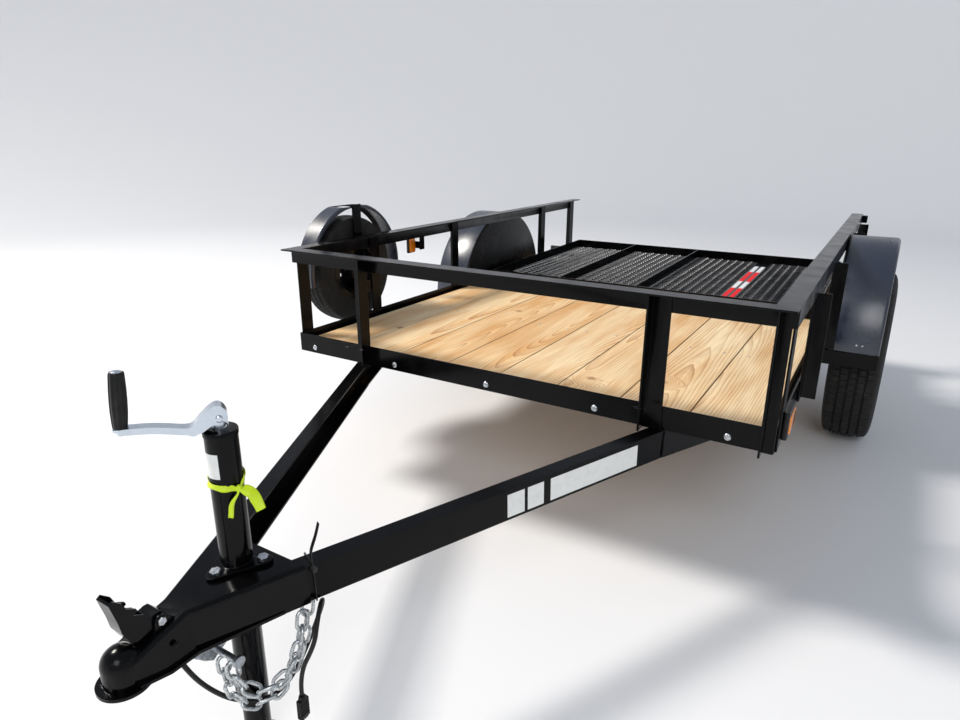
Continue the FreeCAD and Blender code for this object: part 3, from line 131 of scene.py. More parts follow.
@dataclass
class Surface:
    """Points and faces of a surface, as arrays."""

    points: np.ndarray
    quads: np.ndarray = field(default_factory=lambda: np.zeros((0, 4), int))
    tris: np.ndarray = field(default_factory=lambda: np.zeros((0, 3), int))

    def copies(self, turns: np.ndarray, places: np.ndarray) -> "Surface":
        """Repeats the surface.

        Args:
            turns: One 3 by 3 rotation for each copy.
            places: One place for each copy.

        Returns:
            All copies as one surface, each point turned and then shifted.
        """
        points = np.einsum("nij,pj->npi", turns, self.points) + places[:, None]
        shift = (np.arange(len(places)) * len(self.points))[:, None, None]
        return Surface(points.reshape(-1, 3), (self.quads + shift).reshape(-1, 4),
                       (self.tris + shift).reshape(-1, 3))


def joined(*parts: Surface) -> Surface:
    """Several surfaces as one, their face numbers shifted past each other."""
    starts = np.cumsum([0] + [len(part.points) for part in parts[:-1]])
    return Surface(np.vstack([part.points for part in parts]),
                   np.vstack([part.quads + start for part, start in zip(parts, starts)]),
                   np.vstack([part.tris + start for part, start in zip(parts, starts)]))


def over_grid(points: np.ndarray, close_u: bool = False, close_v: bool = False,
              caps: bool = False) -> Surface:
    """Surface over a grid of points, one quad between each four neighbours.

    Args:
        points: Grid of points, rows by columns by 3.
        close_u: The last row joins the first.
        close_v: The last column joins the first.
        caps: The first and the last row are closed by a fan about their middle.

    Returns:
        The surface.
    """
    rows, columns = points.shape[:2]
    a, b = np.meshgrid(np.arange(rows if close_u else rows - 1),
                       np.arange(columns if close_v else columns - 1), indexing="ij")
    c, d = (a + 1) % rows, (b + 1) % columns
    quads = np.stack([a * columns + b, c * columns + b, c * columns + d, a * columns + d], -1).reshape(-1, 4)
    flat = points.reshape(-1, 3)
    if not caps:
        return Surface(flat, quads)
    ring = np.arange(columns)
    after = (ring + 1) % columns
    base = (rows - 1) * columns
    tris = np.vstack([np.stack([after, ring, np.full(columns, len(flat))], -1),
                      np.stack([base + ring, base + after, np.full(columns, len(flat) + 1)], -1)])
    return Surface(np.vstack([flat, points[0].mean(0), points[-1].mean(0)]), quads, tris)


def bar(rings: np.ndarray | list) -> Surface:
    """Closed bar over rings of points, its ends capped."""
    return over_grid(np.asarray(rings), close_v=True, caps=True)


def swept(profile: np.ndarray, path: np.ndarray, up: Spot, closed: bool = False,
          scale: np.ndarray | float = 1.0) -> Surface:
    """Profile carried along a path: path point + across x side + high x rise.

    Args:
        profile: Closed outline, one (across, high) pair for each point.
        path: Points of the path.
        up: A direction that the path never runs along.
        closed: The path's end joins its start.
        scale: Size of the profile at each point of the path.

    Returns:
        The surface, with capped ends where the path is open.
    """
    run = np.roll(path, -1, 0) - np.roll(path, 1, 0) if closed else np.gradient(path, axis=0)
    side = unit(np.cross(unit(run), unit(up)))
    rise = np.cross(side, unit(run))
    size = np.broadcast_to(scale, len(path))[:, None, None]
    offsets = profile[None, :, :1] * side[:, None] + profile[None, :, 1:] * rise[:, None]
    return over_grid(path[:, None] + size * offsets, close_u=closed, close_v=True, caps=not closed)


def round_outline(radius: float, sides: int) -> np.ndarray:
    """Circle: (radius cos t, radius sin t)."""
    t = angles(sides)
    return np.stack([radius * np.cos(t), radius * np.sin(t)], -1)


def turned(profile: Sequence[tuple[float, float]], centre: Spot, axis: Spot, steps: int = 24, flutes: int = 0,
           depth: float = 0.0) -> Surface:
    """Profile turned about an axis: centre + offset x axis + radius x (p cos t + q sin t).

    Args:
        profile: (offset, radius) pairs along the axis.
        centre: Point on the axis.
        axis: Direction of the axis.
        steps: Number of steps round it.
        flutes: Number of flutes round the surface.
        depth: Depth of the flutes, as a share of the radius.

    Returns:
        The closed surface.
    """
    axis = unit(axis)
    p = unit(np.cross(axis, UP if abs(axis[2]) < 0.9 else (0, 1, 0)))
    q = np.cross(axis, p)
    t = angles(steps)
    ring = np.cos(t)[:, None] * p + np.sin(t)[:, None] * q
    rows = np.asarray(profile, float)
    wave = 1 + depth * np.cos(flutes * t)
    return bar(np.asarray(centre, float) + rows[:, None, :1] * axis
               + (rows[:, 1:] * wave[None])[..., None] * ring[None])


def eased_box(low: Spot, high: Spot, ease: float) -> Surface:
    """Box with rounded upright edges and eased ends.

    Levels of a rounded rectangle: each corner is a quarter circle of the easing's radius, and the first and
    last level are drawn in by it.

    Args:
        low: Lowest corner.
        high: Highest corner.
        ease: Radius of the edges.

    Returns:
        The closed surface.
    """
    low, high = np.asarray(low, float), np.asarray(high, float)
    middle, half = (low + high) / 2, (high - low) / 2
    t = np.linspace(0, np.pi / 2, 4)
    quarter = np.stack([np.cos(t), np.sin(t)], -1)
    spin = np.array([[0, -1], [1, 0]])
    arcs = np.vstack([quarter @ np.linalg.matrix_power(spin, k).T for k in range(4)])
    signs = np.repeat([[1, 1], [-1, 1], [-1, -1], [1, -1]], 4, 0)
    inner = half[:2] - ease
    levels = [(-half[2], 0.45), (-half[2] + ease * 0.35, 0.85), (-half[2] + ease, 1.0), (half[2] - ease, 1.0),
              (half[2] - ease * 0.35, 0.85), (half[2], 0.45)]
    rings = [np.column_stack([signs * inner + arcs * ease * share, np.full(16, z)]) for z, share in levels]
    return bar(np.array(rings) + middle)


def smooth_path(points: Sequence[Spot], count: int) -> np.ndarray:
    """Evenly spaced points on a curve through the given ones.

    A natural cubic spline whose parameter is the length of the runs: its second derivatives solve one
    tridiagonal system, and the curve is then divided by its own length.

    Args:
        points: Points that the curve passes through.
        count: Number of points wanted.

    Returns:
        The points.
    """
    p = np.asarray(points, float)
    u = np.concatenate([[0], np.cumsum(steps_between(p))])
    h = np.diff(u)
    n = len(p)
    system = np.eye(n)
    right = np.zeros((n, 3))
    inside = np.arange(1, n - 1)
    system[inside, inside - 1] = h[:-1]
    system[inside, inside] = 2 * (h[:-1] + h[1:])
    system[inside, inside + 1] = h[1:]
    right[inside] = 6 * np.diff(np.diff(p, axis=0) / h[:, None], axis=0)
    bend = np.linalg.solve(system, right)
    w = np.linspace(0, u[-1], 900)
    k = np.clip(np.searchsorted(u, w) - 1, 0, n - 2)
    a, b, g = (u[k + 1] - w)[:, None], (w - u[k])[:, None], h[k][:, None]
    fine = ((bend[k] * a ** 3 + bend[k + 1] * b ** 3) / (6 * g) + (p[k] / g - bend[k] * g / 6) * a
            + (p[k + 1] / g - bend[k + 1] * g / 6) * b)
    run = np.concatenate([[0], np.cumsum(steps_between(fine))])
    want = np.linspace(0, run[-1], count)
    return np.stack([np.interp(want, run, fine[:, axis]) for axis in range(3)], -1)


class Body(Enum):
    """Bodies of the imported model."""

    CHASSIS = "chassis"
    GATE = "gate"
    WHEEL_ROAD = "wheel_roadside"
    WHEEL_CURB = "wheel_curbside"
    LATCH = "latch"
    JACK_LEG = "jack_inner"


class Fastener(Enum):
    """Heads of bolts and nuts: steps round, and (offset, radius) as shares of the head's radius."""

    HEX = (6, ((0, 1.0), (0.5, 1.0), (0.64, 0.88)))
    NUT = (6, ((0, 1.0), (0.72, 1.0), (0.84, 0.9), (0.84, 0.5), (1.25, 0.5), (1.3, 0.44)))
    CARRIAGE = (14, ((0, 1.0), (0.12, 1.0), (0.3, 0.86), (0.42, 0.6), (0.48, 0.3)))

    def heads(self, spots: Sequence[Spot], direction: Spot | Sequence[Spot], radius: float) -> Surface:
        """Heads at several spots.

        Args:
            spots: Where each head sits.
            direction: Which way all heads face, or one direction for each.
            radius: Radius of a head.

        Returns:
            All heads as one surface.
        """
        steps, rows = self.value
        one = turned([(a * radius, b * radius) for a, b in rows], (0, 0, 0), UP, steps)
        spots = np.asarray(spots, float)
        facing = np.broadcast_to(np.asarray(direction, float), spots.shape)
        turns = [Vector(UP).rotation_difference(Vector(way)).to_matrix() for way in facing]
        return one.copies(np.array(turns), spots)


# Finishes


@dataclass
class Shading:
    """A material in the making: its nodes, its main shader and the piece's own coordinates in metres."""

    tree: bpy.types.NodeTree
    shader: bpy.types.Node
    place: Socket | None = None

    def add(self, kind: str, inputs: dict | tuple = (), out: int | str = 0, **settings: object) -> Socket:
        """Adds one shader node with its settings and its links.

        Args:
            kind: The node's type name without its "ShaderNode".
            inputs: Sockets to link or plain values, in order or by the input's name or number. A MapRange
                takes a value, the range that it reads and the range that it gives. A Mix takes its share as
                0 and its two colours as 6 and 7.
            out: Name or number of the output that is wanted.
            settings: The node's own properties.

        Returns:
            That output.
        """
        made = self.tree.nodes.new("ShaderNode" + kind)
        for key, value in settings.items():
            setattr(made, key, value)
        for key, value in inputs.items() if isinstance(inputs, dict) else enumerate(inputs):
            if isinstance(value, Socket):
                self.tree.links.new(value, made.inputs[key])
            else:
                made.inputs[key].default_value = value
        return made.outputs[out]

    def feed(self, **sockets: Socket) -> None:
        """Links sockets to the shader's inputs: colour, roughness, metallic, specular or normal."""
        names = {"colour": "Base Color", "specular": "Specular IOR Level"}
        for key, socket in sockets.items():
            self.tree.links.new(socket, self.shader.inputs[names.get(key, key.title())])

    def colour(self) -> Socket:
        """The socket that feeds the shader's colour so far."""
        return self.shader.inputs["Base Color"].links[0].from_socket

    def relief(self, height: Socket, depth: float, strength: float) -> None:
        """Feeds a height through a bump node, its depth in metres, to the shader's normal."""
        self.feed(normal=self.add("Bump", {"Height": height, "Distance": depth, "Strength": strength}))


@dataclass(frozen=True)
class Finish:
    """A surface finish. Its subclasses say what pattern the real material shows."""

    name: str
    colour: str
    roughness: float = 0.5
    metallic: float = 0.0
    ior: float = 1.5
    coat: float = 0.0
    specular: float = 0.5
    slot: str = ""

    def material(self) -> bpy.types.Material:
        """The finish as a node material, made once."""
        made = bpy.data.materials.get(self.name)
        if made:
            return made
        made = bpy.data.materials.new(self.name)
        made.use_nodes = True
        shader = made.node_tree.nodes["Principled BSDF"]
        constants = {"Base Color": linear(self.colour), "Roughness": self.roughness,
                     "Metallic": self.metallic}
        if not self.metallic:
            constants |= {"IOR": self.ior, "Specular IOR Level": self.specular}
        if self.coat:
            constants |= {"Coat Weight": self.coat, "Coat Roughness": COAT_ROUGHNESS}
        for key, value in constants.items():
            shader.inputs[key].default_value = value
        look = Shading(made.node_tree, shader)
        look.place = look.add("TexCoord", out="Object")
        self.pattern(look)
        return made

    def pattern(self, look: Shading) -> None:
        """Adds what the plain colour lacks."""
        raise NotImplementedError

    def vary(self, look: Shading, size: float, spread: float, other: str, share: float) -> None:
        """Lets roughness and colour wander with a soft noise.

        Args:
            look: The material in the making.
            size: Size of a patch in metres.
            spread: How far the roughness moves either way.
            other: Colour that the patches lean to.
            share: How far they lean, at most.
        """
        noise = look.add("TexNoise", {"Vector": look.place, "Scale": 1 / size, "Detail": 4.0,
                                      "Roughness": 0.6})
        rough = look.add("MapRange", (noise, 0.32, 0.68, self.roughness - spread, self.roughness + spread))
        lean = look.add("MapRange", (noise, 0.45, 0.75, 0.0, share))
        mixed = look.add("Mix", {0: lean, 6: linear(self.colour), 7: linear(other)}, **COLOUR_MIX)
        look.feed(roughness=rough, colour=mixed)


@dataclass(frozen=True)
class Enamel(Finish):
    """Sprayed enamel on rolled steel: faint orange peel, a little road dust and softer patches."""

    peel: float = 0.004
    dust: str = "#3c3e40"
    dusty: float = 0.03
    plain_black_within: float = 0.0

    def pattern(self, look: Shading) -> None:
        """Orange peel of a few millimetres, drawn coarser than the real millimetre so that it shows.

        A sheet that lies nearer the trailer's middle plane than the set distance takes a plain, clean
        near-black with less sheen, so that a base colour lightened as painted sky reflection stays on the
        outer sheets.
        """
        self.vary(look, 0.09, 0.06, self.dust, self.dusty)
        if self.plain_black_within:
            # Inner sheets take plain near-black with less sheen; the fenders' lighter bluish base colour, a
            # painted sky reflection, stays outside them.
            side = look.add("Math", (look.add("SeparateXYZ", (look.place,)),), operation="ABSOLUTE")
            inner = look.add("Math", (side, self.plain_black_within), operation="LESS_THAN")
            gloss = look.add("MapRange", (inner, 0.0, 1.0, self.specular, 0.2))
            black = look.add("Mix", {0: inner, 6: look.colour(), 7: linear("#060607")}, **COLOUR_MIX)
            look.feed(specular=gloss, colour=black)
        peel = look.add("TexNoise", {"Vector": look.place, "Scale": 1 / self.peel, "Detail": 2.0})
        look.relief(peel, 0.0003, 0.35)


@dataclass(frozen=True)
class WornEnamel(Enamel):
    """Enamel rubbed to bare steel over one spot, where a ball and a lever have worked."""

    spot: tuple[float, float, float] = (0.0, 0.0, 0.0)
    reach: float = 0.012

    def pattern(self, look: Shading) -> None:
        """The bare spot is where the distance to its middle, plus a noise, is under its reach."""
        super().pattern(look)
        away = look.add("VectorMath", (look.place, self.spot), "Value", operation="DISTANCE")
        edge = look.add("TexNoise", {"Vector": look.place, "Scale": 160.0, "Detail": 3.0})
        ragged = look.add("Math", (edge, self.reach, away), operation="MULTIPLY_ADD")
        bare = look.add("MapRange", (ragged, self.reach * 1.35, self.reach * 1.2, 0.0, 1.0))
        mixed = look.add("Mix", {0: bare, 6: look.colour(), 7: linear("#9c9a96")}, **COLOUR_MIX)
        look.feed(colour=mixed, metallic=bare)


@dataclass(frozen=True)
class Zinc(Finish):
    """Bright zinc plating: a cool metal whose crystals each shine a little differently."""

    metallic: float = 1.0
    spangle: float = 0.006
    grime: float = 0.3
    contrast: float = 1.0

    def pattern(self, look: Shading) -> None:
        """Spangles are Voronoi cells a few millimetres wide, each with its own roughness and tint."""
        cells = look.add("TexVoronoi", {"Vector": look.place, "Scale": 1 / self.spangle}, "Color")
        red, green = (look.add("SeparateColor", (cells,), channel) for channel in (0, 1))
        smoothest, roughest = self.roughness - 0.07 * self.contrast, self.roughness + 0.12 * self.contrast
        rough = look.add("MapRange", (red, 0.0, 1.0, smoothest, roughest))
        tint = look.add("MapRange", (green, 0.0, 1.0, 0.0, self.contrast))
        mixed = look.add("Mix", {0: tint, 6: linear(self.colour), 7: linear("#a9adb2")}, **COLOUR_MIX)
        grime = look.add("TexNoise", {"Vector": look.place, "Scale": 55.0, "Detail": 5.0})
        dirt = look.add("MapRange", (grime, 0.5, 0.72, 0.0, self.grime))
        last = look.add("Mix", {0: dirt, 6: mixed, 7: linear("#6f6d68")}, **COLOUR_MIX)
        look.feed(roughness=rough, colour=last)
        look.relief(grime, 0.0003 * self.contrast, 0.3)


@dataclass(frozen=True)
class Rubber(Finish):
    """Moulded rubber: dark, dull, with grey patches that are partly dust and partly painted patches of
    sunlight.
    """

    grain: float = 0.0016

    def pattern(self, look: Shading) -> None:
        """A fine pebble from the mould, and grey patches of about six centimetres: dust, and painted patches
        of sunlight.
        """
        self.vary(look, 0.06, 0.06, "#3b3a38", 0.45)
        pebble = look.add("TexNoise", {"Vector": look.place, "Scale": 1 / self.grain, "Detail": 2.0})
        look.relief(pebble, 0.0004, 0.4)


@dataclass(frozen=True)
class Film(Finish):
    """Printed or pigmented plastic film: even, a little glossy, with faint waves where it was rubbed down."""

    wave: float = 0.02

    def pattern(self, look: Shading) -> None:
        """Soft waves and a trace of dirt."""
        self.vary(look, self.wave, 0.05, "#8f8d86", 0.16)
        soft = look.add("TexNoise", {"Vector": look.place, "Scale": 1 / self.wave, "Detail": 1.0})
        look.relief(soft, 0.0012, 0.4)


@dataclass(frozen=True)
class PrismTape(Finish):
    """Retroreflective tape: a clear skin over small sealed cells that shine in a honeycomb."""

    cell: float = 0.005

    def pattern(self, look: Shading) -> None:
        """Voronoi cells five millimetres wide, lighter in the middle and darker on the seams."""
        cells = look.add("TexVoronoi", {"Vector": look.place, "Scale": 1 / self.cell, "Randomness": 0.25},
                         "Distance", feature="DISTANCE_TO_EDGE")
        seam = look.add("MapRange", (cells, 0.02, 0.14, 0.16, 0.0))
        mixed = look.add("Mix", {0: seam, 6: linear(self.colour), 7: linear("#3a3a3c")}, **COLOUR_MIX)
        look.feed(colour=mixed)


@dataclass(frozen=True)
class Lens(Finish):
    """Moulded acrylic lens: deep colour under a glossy skin, with optic ribs behind it."""

    rib: float = 0.006

    def pattern(self, look: Shading) -> None:
        """Ribs are a sine across the lens, six millimetres apart, that darkens the colour between them."""
        ribs = look.add("TexWave", {"Vector": look.place, "Scale": 0.314 / self.rib}, "Fac",
                        bands_direction="DIAGONAL")
        mild = look.add("MapRange", (ribs, 0.0, 1.0, 0.0, 0.22))
        mixed = look.add("Mix", {0: mild, 6: linear(self.colour), 7: linear("#5a1804")}, **COLOUR_MIX)
        look.feed(colour=mixed)
        look.relief(ribs, 0.0004, 0.3)


@dataclass(frozen=True)
class PineBoards(Finish):
    """Planed softwood boards: pale early wood, darker late wood in long arches, and a few knots."""

    late: str = "#a1683a"
    warm: str = "#dfae70"
    knot: str = "#8a5426"
    edge: float = -0.741
    pitch: float = 0.1854
    ring: float = 0.0070
    knots: tuple = ((0.247, -0.409), (0.431, -0.330), (-0.310, 0.180), (-0.560, -0.270), (0.640, 0.520))

    def nearest_knot(self, look: Shading, x: Socket, y: Socket) -> Socket:
        """Distance to the nearest of the listed knots, in plan."""
        flat = look.add("CombineXYZ", (x, y))
        nearest, *others = [look.add("VectorMath", (flat, (*spot, 0.0)), "Value", operation="DISTANCE")
                            for spot in self.knots]
        for reach in others:
            nearest = look.add("Math", (nearest, reach), operation="MINIMUM")
        return nearest

    def late_wood(self, look: Shading, radius: Socket, nearest: Socket) -> Socket:
        """Share of late wood: it thickens to the end of each ring, with fine teeth in thirds of a ring.

        Args:
            look: The material in the making.
            radius: Distance from the pith line.
            nearest: Distance to the nearest knot, round which the rings swell.

        Returns:
            The share, from 0 to 1.
        """
        swell = look.add("MapRange", (nearest, 0.0, 0.075, 0.045, 0.0), interpolation_type="SMOOTHSTEP")
        lifted = look.add("Math", (swell, radius), operation="ADD")
        phase = look.add("Math", (lifted, self.ring), operation="DIVIDE")
        within = look.add("Math", (phase,), operation="FRACT")
        thick = look.add("Math", (within, 3.2), operation="POWER")
        third = look.add("Math", (phase, 3.0), operation="MULTIPLY")
        teeth = look.add("Math", (third,), operation="FRACT")
        return look.add("Math", (teeth, 0.22, thick), operation="MULTIPLY_ADD", use_clamp=True)

    def pattern(self, look: Shading) -> None:
        """Growth rings are circles about a pith under each board.

        The board's number is the whole part of (x - edge) / pitch, and a hash of it shifts the board's own
        pattern. The ring's phase is the distance from the pith line over the ring's width. The pith line
        dives slowly along the board, which draws the long arches.
        """
        x, y = (look.add("SeparateXYZ", (look.place,), axis) for axis in (0, 1))
        lane = look.add("Math", (x, self.edge), operation="SUBTRACT")
        share = look.add("Math", (lane, self.pitch), operation="DIVIDE")
        number = look.add("Math", (share,), operation="FLOOR")
        inside = look.add("Math", (share,), operation="FRACT")
        hash_ = look.add("TexWhiteNoise", {"W": number}, "Color", noise_dimensions="1D")
        red, green, blue = (look.add("SeparateColor", (hash_,), channel) for channel in range(3))
        far = look.add("Math", (red, 13.0, y), operation="MULTIPLY_ADD")
        pith = look.add("Math", (green, 2.2, -0.6), operation="MULTIPLY_ADD")
        cross = look.add("Math", (inside, pith), operation="SUBTRACT")
        wide = look.add("Math", (cross, self.pitch), operation="MULTIPLY")
        slow = look.add("TexNoise", {"W": far, "Scale": 0.32, "Detail": 0.5}, noise_dimensions="1D")
        depth = look.add("MapRange", (slow, 0.2, 0.8, 0.0, 0.17))
        radius = look.add("VectorMath", (look.add("CombineXYZ", (wide, depth)),), "Value",
                          operation="LENGTH")
        ripple = look.add("TexNoise", {"Vector": look.add("CombineXYZ", (inside, far, number)),
                                       "Scale": 2.6, "Detail": 2.0})
        bent = look.add("Math", (ripple, 0.011, radius), operation="MULTIPLY_ADD")
        nearest = self.nearest_knot(look, x, y)
        late = self.late_wood(look, bent, nearest)
        stretch = look.add("Mapping", {"Vector": look.place, "Scale": (260.0, 6.0, 260.0)})
        fibre = look.add("TexNoise", {"Vector": stretch, "Scale": 1.0, "Detail": 4.0})
        broad = look.add("Mapping", {"Vector": look.place, "Scale": (16.0, 2.2, 16.0)})
        cloud = look.add("TexNoise", {"Vector": broad, "Scale": 1.0, "Detail": 3.0})
        heat = look.add("MapRange", (cloud, 0.38, 0.66, -0.15, 0.5))
        warm = look.add("Math", (blue, 0.55, heat), operation="MULTIPLY_ADD", use_clamp=True)
        bold = look.add("MapRange", (cloud, 0.35, 0.65, 0.35, 0.85))
        grainy = look.add("Math", (late, bold), operation="MULTIPLY")
        streak = look.add("MapRange", (fibre, 0.35, 0.7, 0.0, 0.36))
        eye = look.add("MapRange", (nearest, 0.006, 0.019, 0.75, 0.0))
        middle = look.add("Math", (inside, 0.5), operation="SUBTRACT")
        away = look.add("Math", (middle,), operation="ABSOLUTE")
        gap = look.add("MapRange", (away, 0.484, 0.497, 0.0, 0.8))
        # over the pale wood: warmth, late wood, fibres, knots, and the shade of the gap at each edge
        colour = linear(self.colour)
        for cover, tone in ((warm, self.warm), (grainy, self.late), (streak, "#a97a4a"), (eye, self.knot),
                            (gap, "#4a2f1a")):
            colour = look.add("Mix", {0: cover, 6: colour, 7: linear(tone)}, **COLOUR_MIX)
        look.feed(colour=colour)
        look.relief(fibre, 0.0006, 0.35)


@dataclass(frozen=True)
class PaleFloor(Finish):
    """Matt pale sheet vinyl that a studio rolls out: it keeps the shadow and nothing else."""

    def pattern(self, look: Shading) -> None:
        """Sheen that wanders over half a metre: the colour stays even."""
        self.vary(look, 0.5, 0.04, self.colour, 0.0)


FRAME_ENAMEL = Enamel("semi_gloss_enamel_on_rolled_angle", "#050506", 0.20, specular=0.13,
                      slot="black_enamel")
# The fenders' and spare guard's base colour is lighter and bluer than their black paint: painted reflection
# of the sky. Sheets within 0.79 m of the middle plane keep plain black.
FENDER_ENAMEL = Enamel("satin_enamel_with_painted_sky_reflection", "#182030", 0.29, specular=0.9, slot="black_enamel",
                       plain_black_within=0.79)
GLOSS_ENAMEL = Enamel("gloss_powder_coat_on_tube", "#040405", 0.13, specular=0.15, slot="jack_enamel",
                      dusty=0.02)
COUPLER_ENAMEL = WornEnamel("gloss_enamel_on_pressed_steel", "#050506", 0.15, specular=0.15,
                            slot="black_enamel", spot=(0.0, -1.684, 0.412))
SPRING_ENAMEL = Enamel("brushed_paint_on_spring_steel", "#0e0e10", 0.48, specular=0.4, slot="spring_steel",
                       dusty=0.2)
WHEEL_ENAMEL = Enamel("satin_enamel_on_pressed_wheel", "#09090b", 0.30, specular=0.3, slot="wheel_paint")
MESH_ENAMEL = Enamel("dipped_enamel_on_expanded_steel", "#0c0e13", 0.25, specular=0.8, slot="black_enamel")
ZINC = Zinc("bright_zinc_plating", "#c6cace", 0.30, slot="zinc_plate")
ARM_ZINC = Zinc("bright_zinc_on_folded_arm", "#cfd8e2", 0.24, slot="zinc_plate", grime=0.04, contrast=0.12)
CHAIN_ZINC = Zinc("galvanised_chain_steel", "#d6dad8", 0.30, slot="zinc_plate", spangle=0.003, grime=0.25)
TYRE = Rubber("carbon_black_tyre_rubber", "#191817", 0.78, specular=0.35, slot="tyre_rubber")
GRIP = Rubber("ribbed_moulded_grip_rubber", "#080809", 0.38, specular=0.25, slot="grip_rubber", grain=0.001)
JACKET = Rubber("black_pvc_cable_jacket", "#070707", 0.42, specular=0.25, slot="cable_jacket", grain=0.002)
NYLON = Rubber("black_nylon_tie", "#080809", 0.38, specular=0.4, slot="cable_jacket", grain=0.003)
PINE = PineBoards("planed_pine_boards", "#f3deb4", 0.55, specular=0.3, slot="pine")
AMBER = Lens("amber_acrylic_lens", "#ee8a12", 0.18, ior=1.49, coat=0.5, slot="amber_lens")
RED = Lens("red_acrylic_lens", "#a80f12", 0.16, ior=1.49, coat=0.5, slot="red_lens")
HOUSING = Enamel("moulded_abs_lamp_housing", "#08080a", 0.4, specular=0.4, slot="black_enamel", peel=0.002)
TAPE_RED = PrismTape("red_prismatic_tape", "#e4000f", 0.5, specular=0.1)
TAPE_WHITE = PrismTape("silver_prismatic_tape", "#e2e4e6", 0.4, specular=0.3)
LABEL = Film("blank_white_vinyl_label", "#e6e7e4", 0.4)
RIBBON = Film("lime_flagging_tape_film", "#d2ee10", 0.38, wave=0.006)
FLOOR = PaleFloor("pale_studio_vinyl", "#dfe0e2", 0.8, specular=0.1)


# Putting pieces into the scene


def placed(name: str, data: bpy.types.ID) -> bpy.types.Object:
    """A new object for the data, linked into the scene."""
    thing = bpy.data.objects.new(name, data)
    bpy.context.scene.collection.objects.link(thing)
    return thing


def finished(name: str, data: bpy.types.Mesh, finish: Finish, body: Body, replaced: Sequence[str],
             crease: float) -> bpy.types.Object:
    """Shades a mesh, gives it its material and body, and reports it. Its arguments are those of put."""
    data.polygons.foreach_set("use_smooth", np.ones(len(data.polygons), bool))
    data.set_sharp_from_angle(angle=math.radians(crease))
    data.materials.clear()
    data.materials.append(finish.material())
    piece = placed(name, data)
    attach(piece, body.value)
    if replaced:
        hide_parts(*replaced)
    LOG.info("%s: %d faces on %s", name, len(data.polygons), body.value)
    return piece


def put(name: str, surface: Surface, finish: Finish, body: Body = Body.CHASSIS, replaced: Sequence[str] = (),
        crease: float = 35.0) -> bpy.types.Object:
    """Makes a piece from a surface, dresses it and lets it ride its body.

    Args:
        name: Name of the piece.
        surface: Points and faces, in the row frame.
        finish: What it is finished in.
        body: Body that it rides.
        replaced: CAD nodes that it stands for.
        crease: Faces that meet at more than this many degrees keep a sharp edge.

    Returns:
        The piece.
    """
    data = bpy.data.meshes.new(name)
    data.from_pydata(surface.points.tolist(), [], surface.quads.tolist() + surface.tris.tolist())
    work = bmesh.new()
    work.from_mesh(data)
    bmesh.ops.remove_doubles(work, verts=work.verts, dist=2e-6)
    bmesh.ops.recalc_face_normals(work, faces=work.faces)
    work.to_mesh(data)
    work.free()
    return finished(name, data, finish, body, replaced, crease)


def eased(node: str, finish: Finish, radius: float = 0.0012, body: Body = Body.CHASSIS) -> bpy.types.Object:
    """Stands a copy of a CAD node's mesh in its place, its sharp edges rolled as mill and paint leave them.

    Args:
        node: The CAD node.
        finish: What it is finished in.
        radius: Radius of the rolled edges.
        body: Body that it rides.

    Returns:
        The piece.
    """
    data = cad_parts[node].data.copy()
    data.name = node + "_eased"
    work = bmesh.new()
    work.from_mesh(data)
    bmesh.ops.remove_doubles(work, verts=work.verts, dist=1e-5)
    bmesh.ops.dissolve_limit(work, angle_limit=math.radians(0.8), verts=work.verts, edges=work.edges)
    work.to_mesh(data)
    work.free()
    piece = finished(node + "_eased", data, finish, body, (node,), 35.0)
    bevel = piece.modifiers.new("rolled_edges", "BEVEL")
    bevel.width = radius
    bevel.segments = 2
    bevel.limit_method = "ANGLE"
    bevel.angle_limit = math.radians(38)
    bevel.harden_normals = True
    return piece


def moved(piece: bpy.types.Object, rule: Callable[[np.ndarray], np.ndarray]) -> None:
    """Moves a piece's own points.

    Args:
        piece: The piece.
        rule: Gives the new points, as rows of three, for the old ones.
    """
    flat = np.empty(3 * len(piece.data.vertices))
    piece.data.vertices.foreach_get("co", flat)
    piece.data.vertices.foreach_set("co", rule(flat.reshape(-1, 3)).ravel())
    piece.data.update()


def dressed(node: str, finish: Finish) -> None:
    """Gives a CAD node its material where its shape is right as it is."""
    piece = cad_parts[node]
    piece.data.materials.clear()
    piece.data.materials.append(finish.material())
    LOG.info("%s: dressed in %s", node, finish.name)


def weld(start: np.ndarray, end: np.ndarray, radius: float = 0.0032) -> Surface:
    """Weld bead between two points: a tube whose radius ripples every four millimetres.

    Args:
        start: One end of the seam.
        end: Its other end.
        radius: Radius of the bead.

    Returns:
        The closed bead.
    """
    pitch, run_out = 0.004, 0.006
    length = float(np.linalg.norm(end - start))
    share = np.linspace(0, 1, max(4, int(2 * length / pitch)))
    path = start + share[:, None] * (end - start)
    taper = np.clip(np.minimum(share, 1 - share) * length / run_out, 0.25, 1)
    ripple = 1 + 0.22 * np.abs(np.sin(np.pi * share * length / pitch))
    up = UP if abs(unit(end - start)[2]) < 0.8 else (0, 1, 0)
    return swept(round_outline(radius, 6), path, up, scale=taper * ripple)


def slab(place: Callable[..., np.ndarray], along: np.ndarray, low: float, high: float,
         thick: float) -> Surface:
    """Thin slab laid on a face, such as a label.

    Args:
        place: Gives the point for a place along the slab, a place across it and a height over the face.
        along: Places along the slab.
        low: Its lower edge.
        high: Its upper edge.
        thick: Its thickness.

    Returns:
        The closed slab.
    """
    corners = ((low, 0.0), (high, 0.0), (high, thick), (low, thick))
    return bar([[place(a, across, out) for across, out in corners] for a in along])


# The camera and the wiring cable


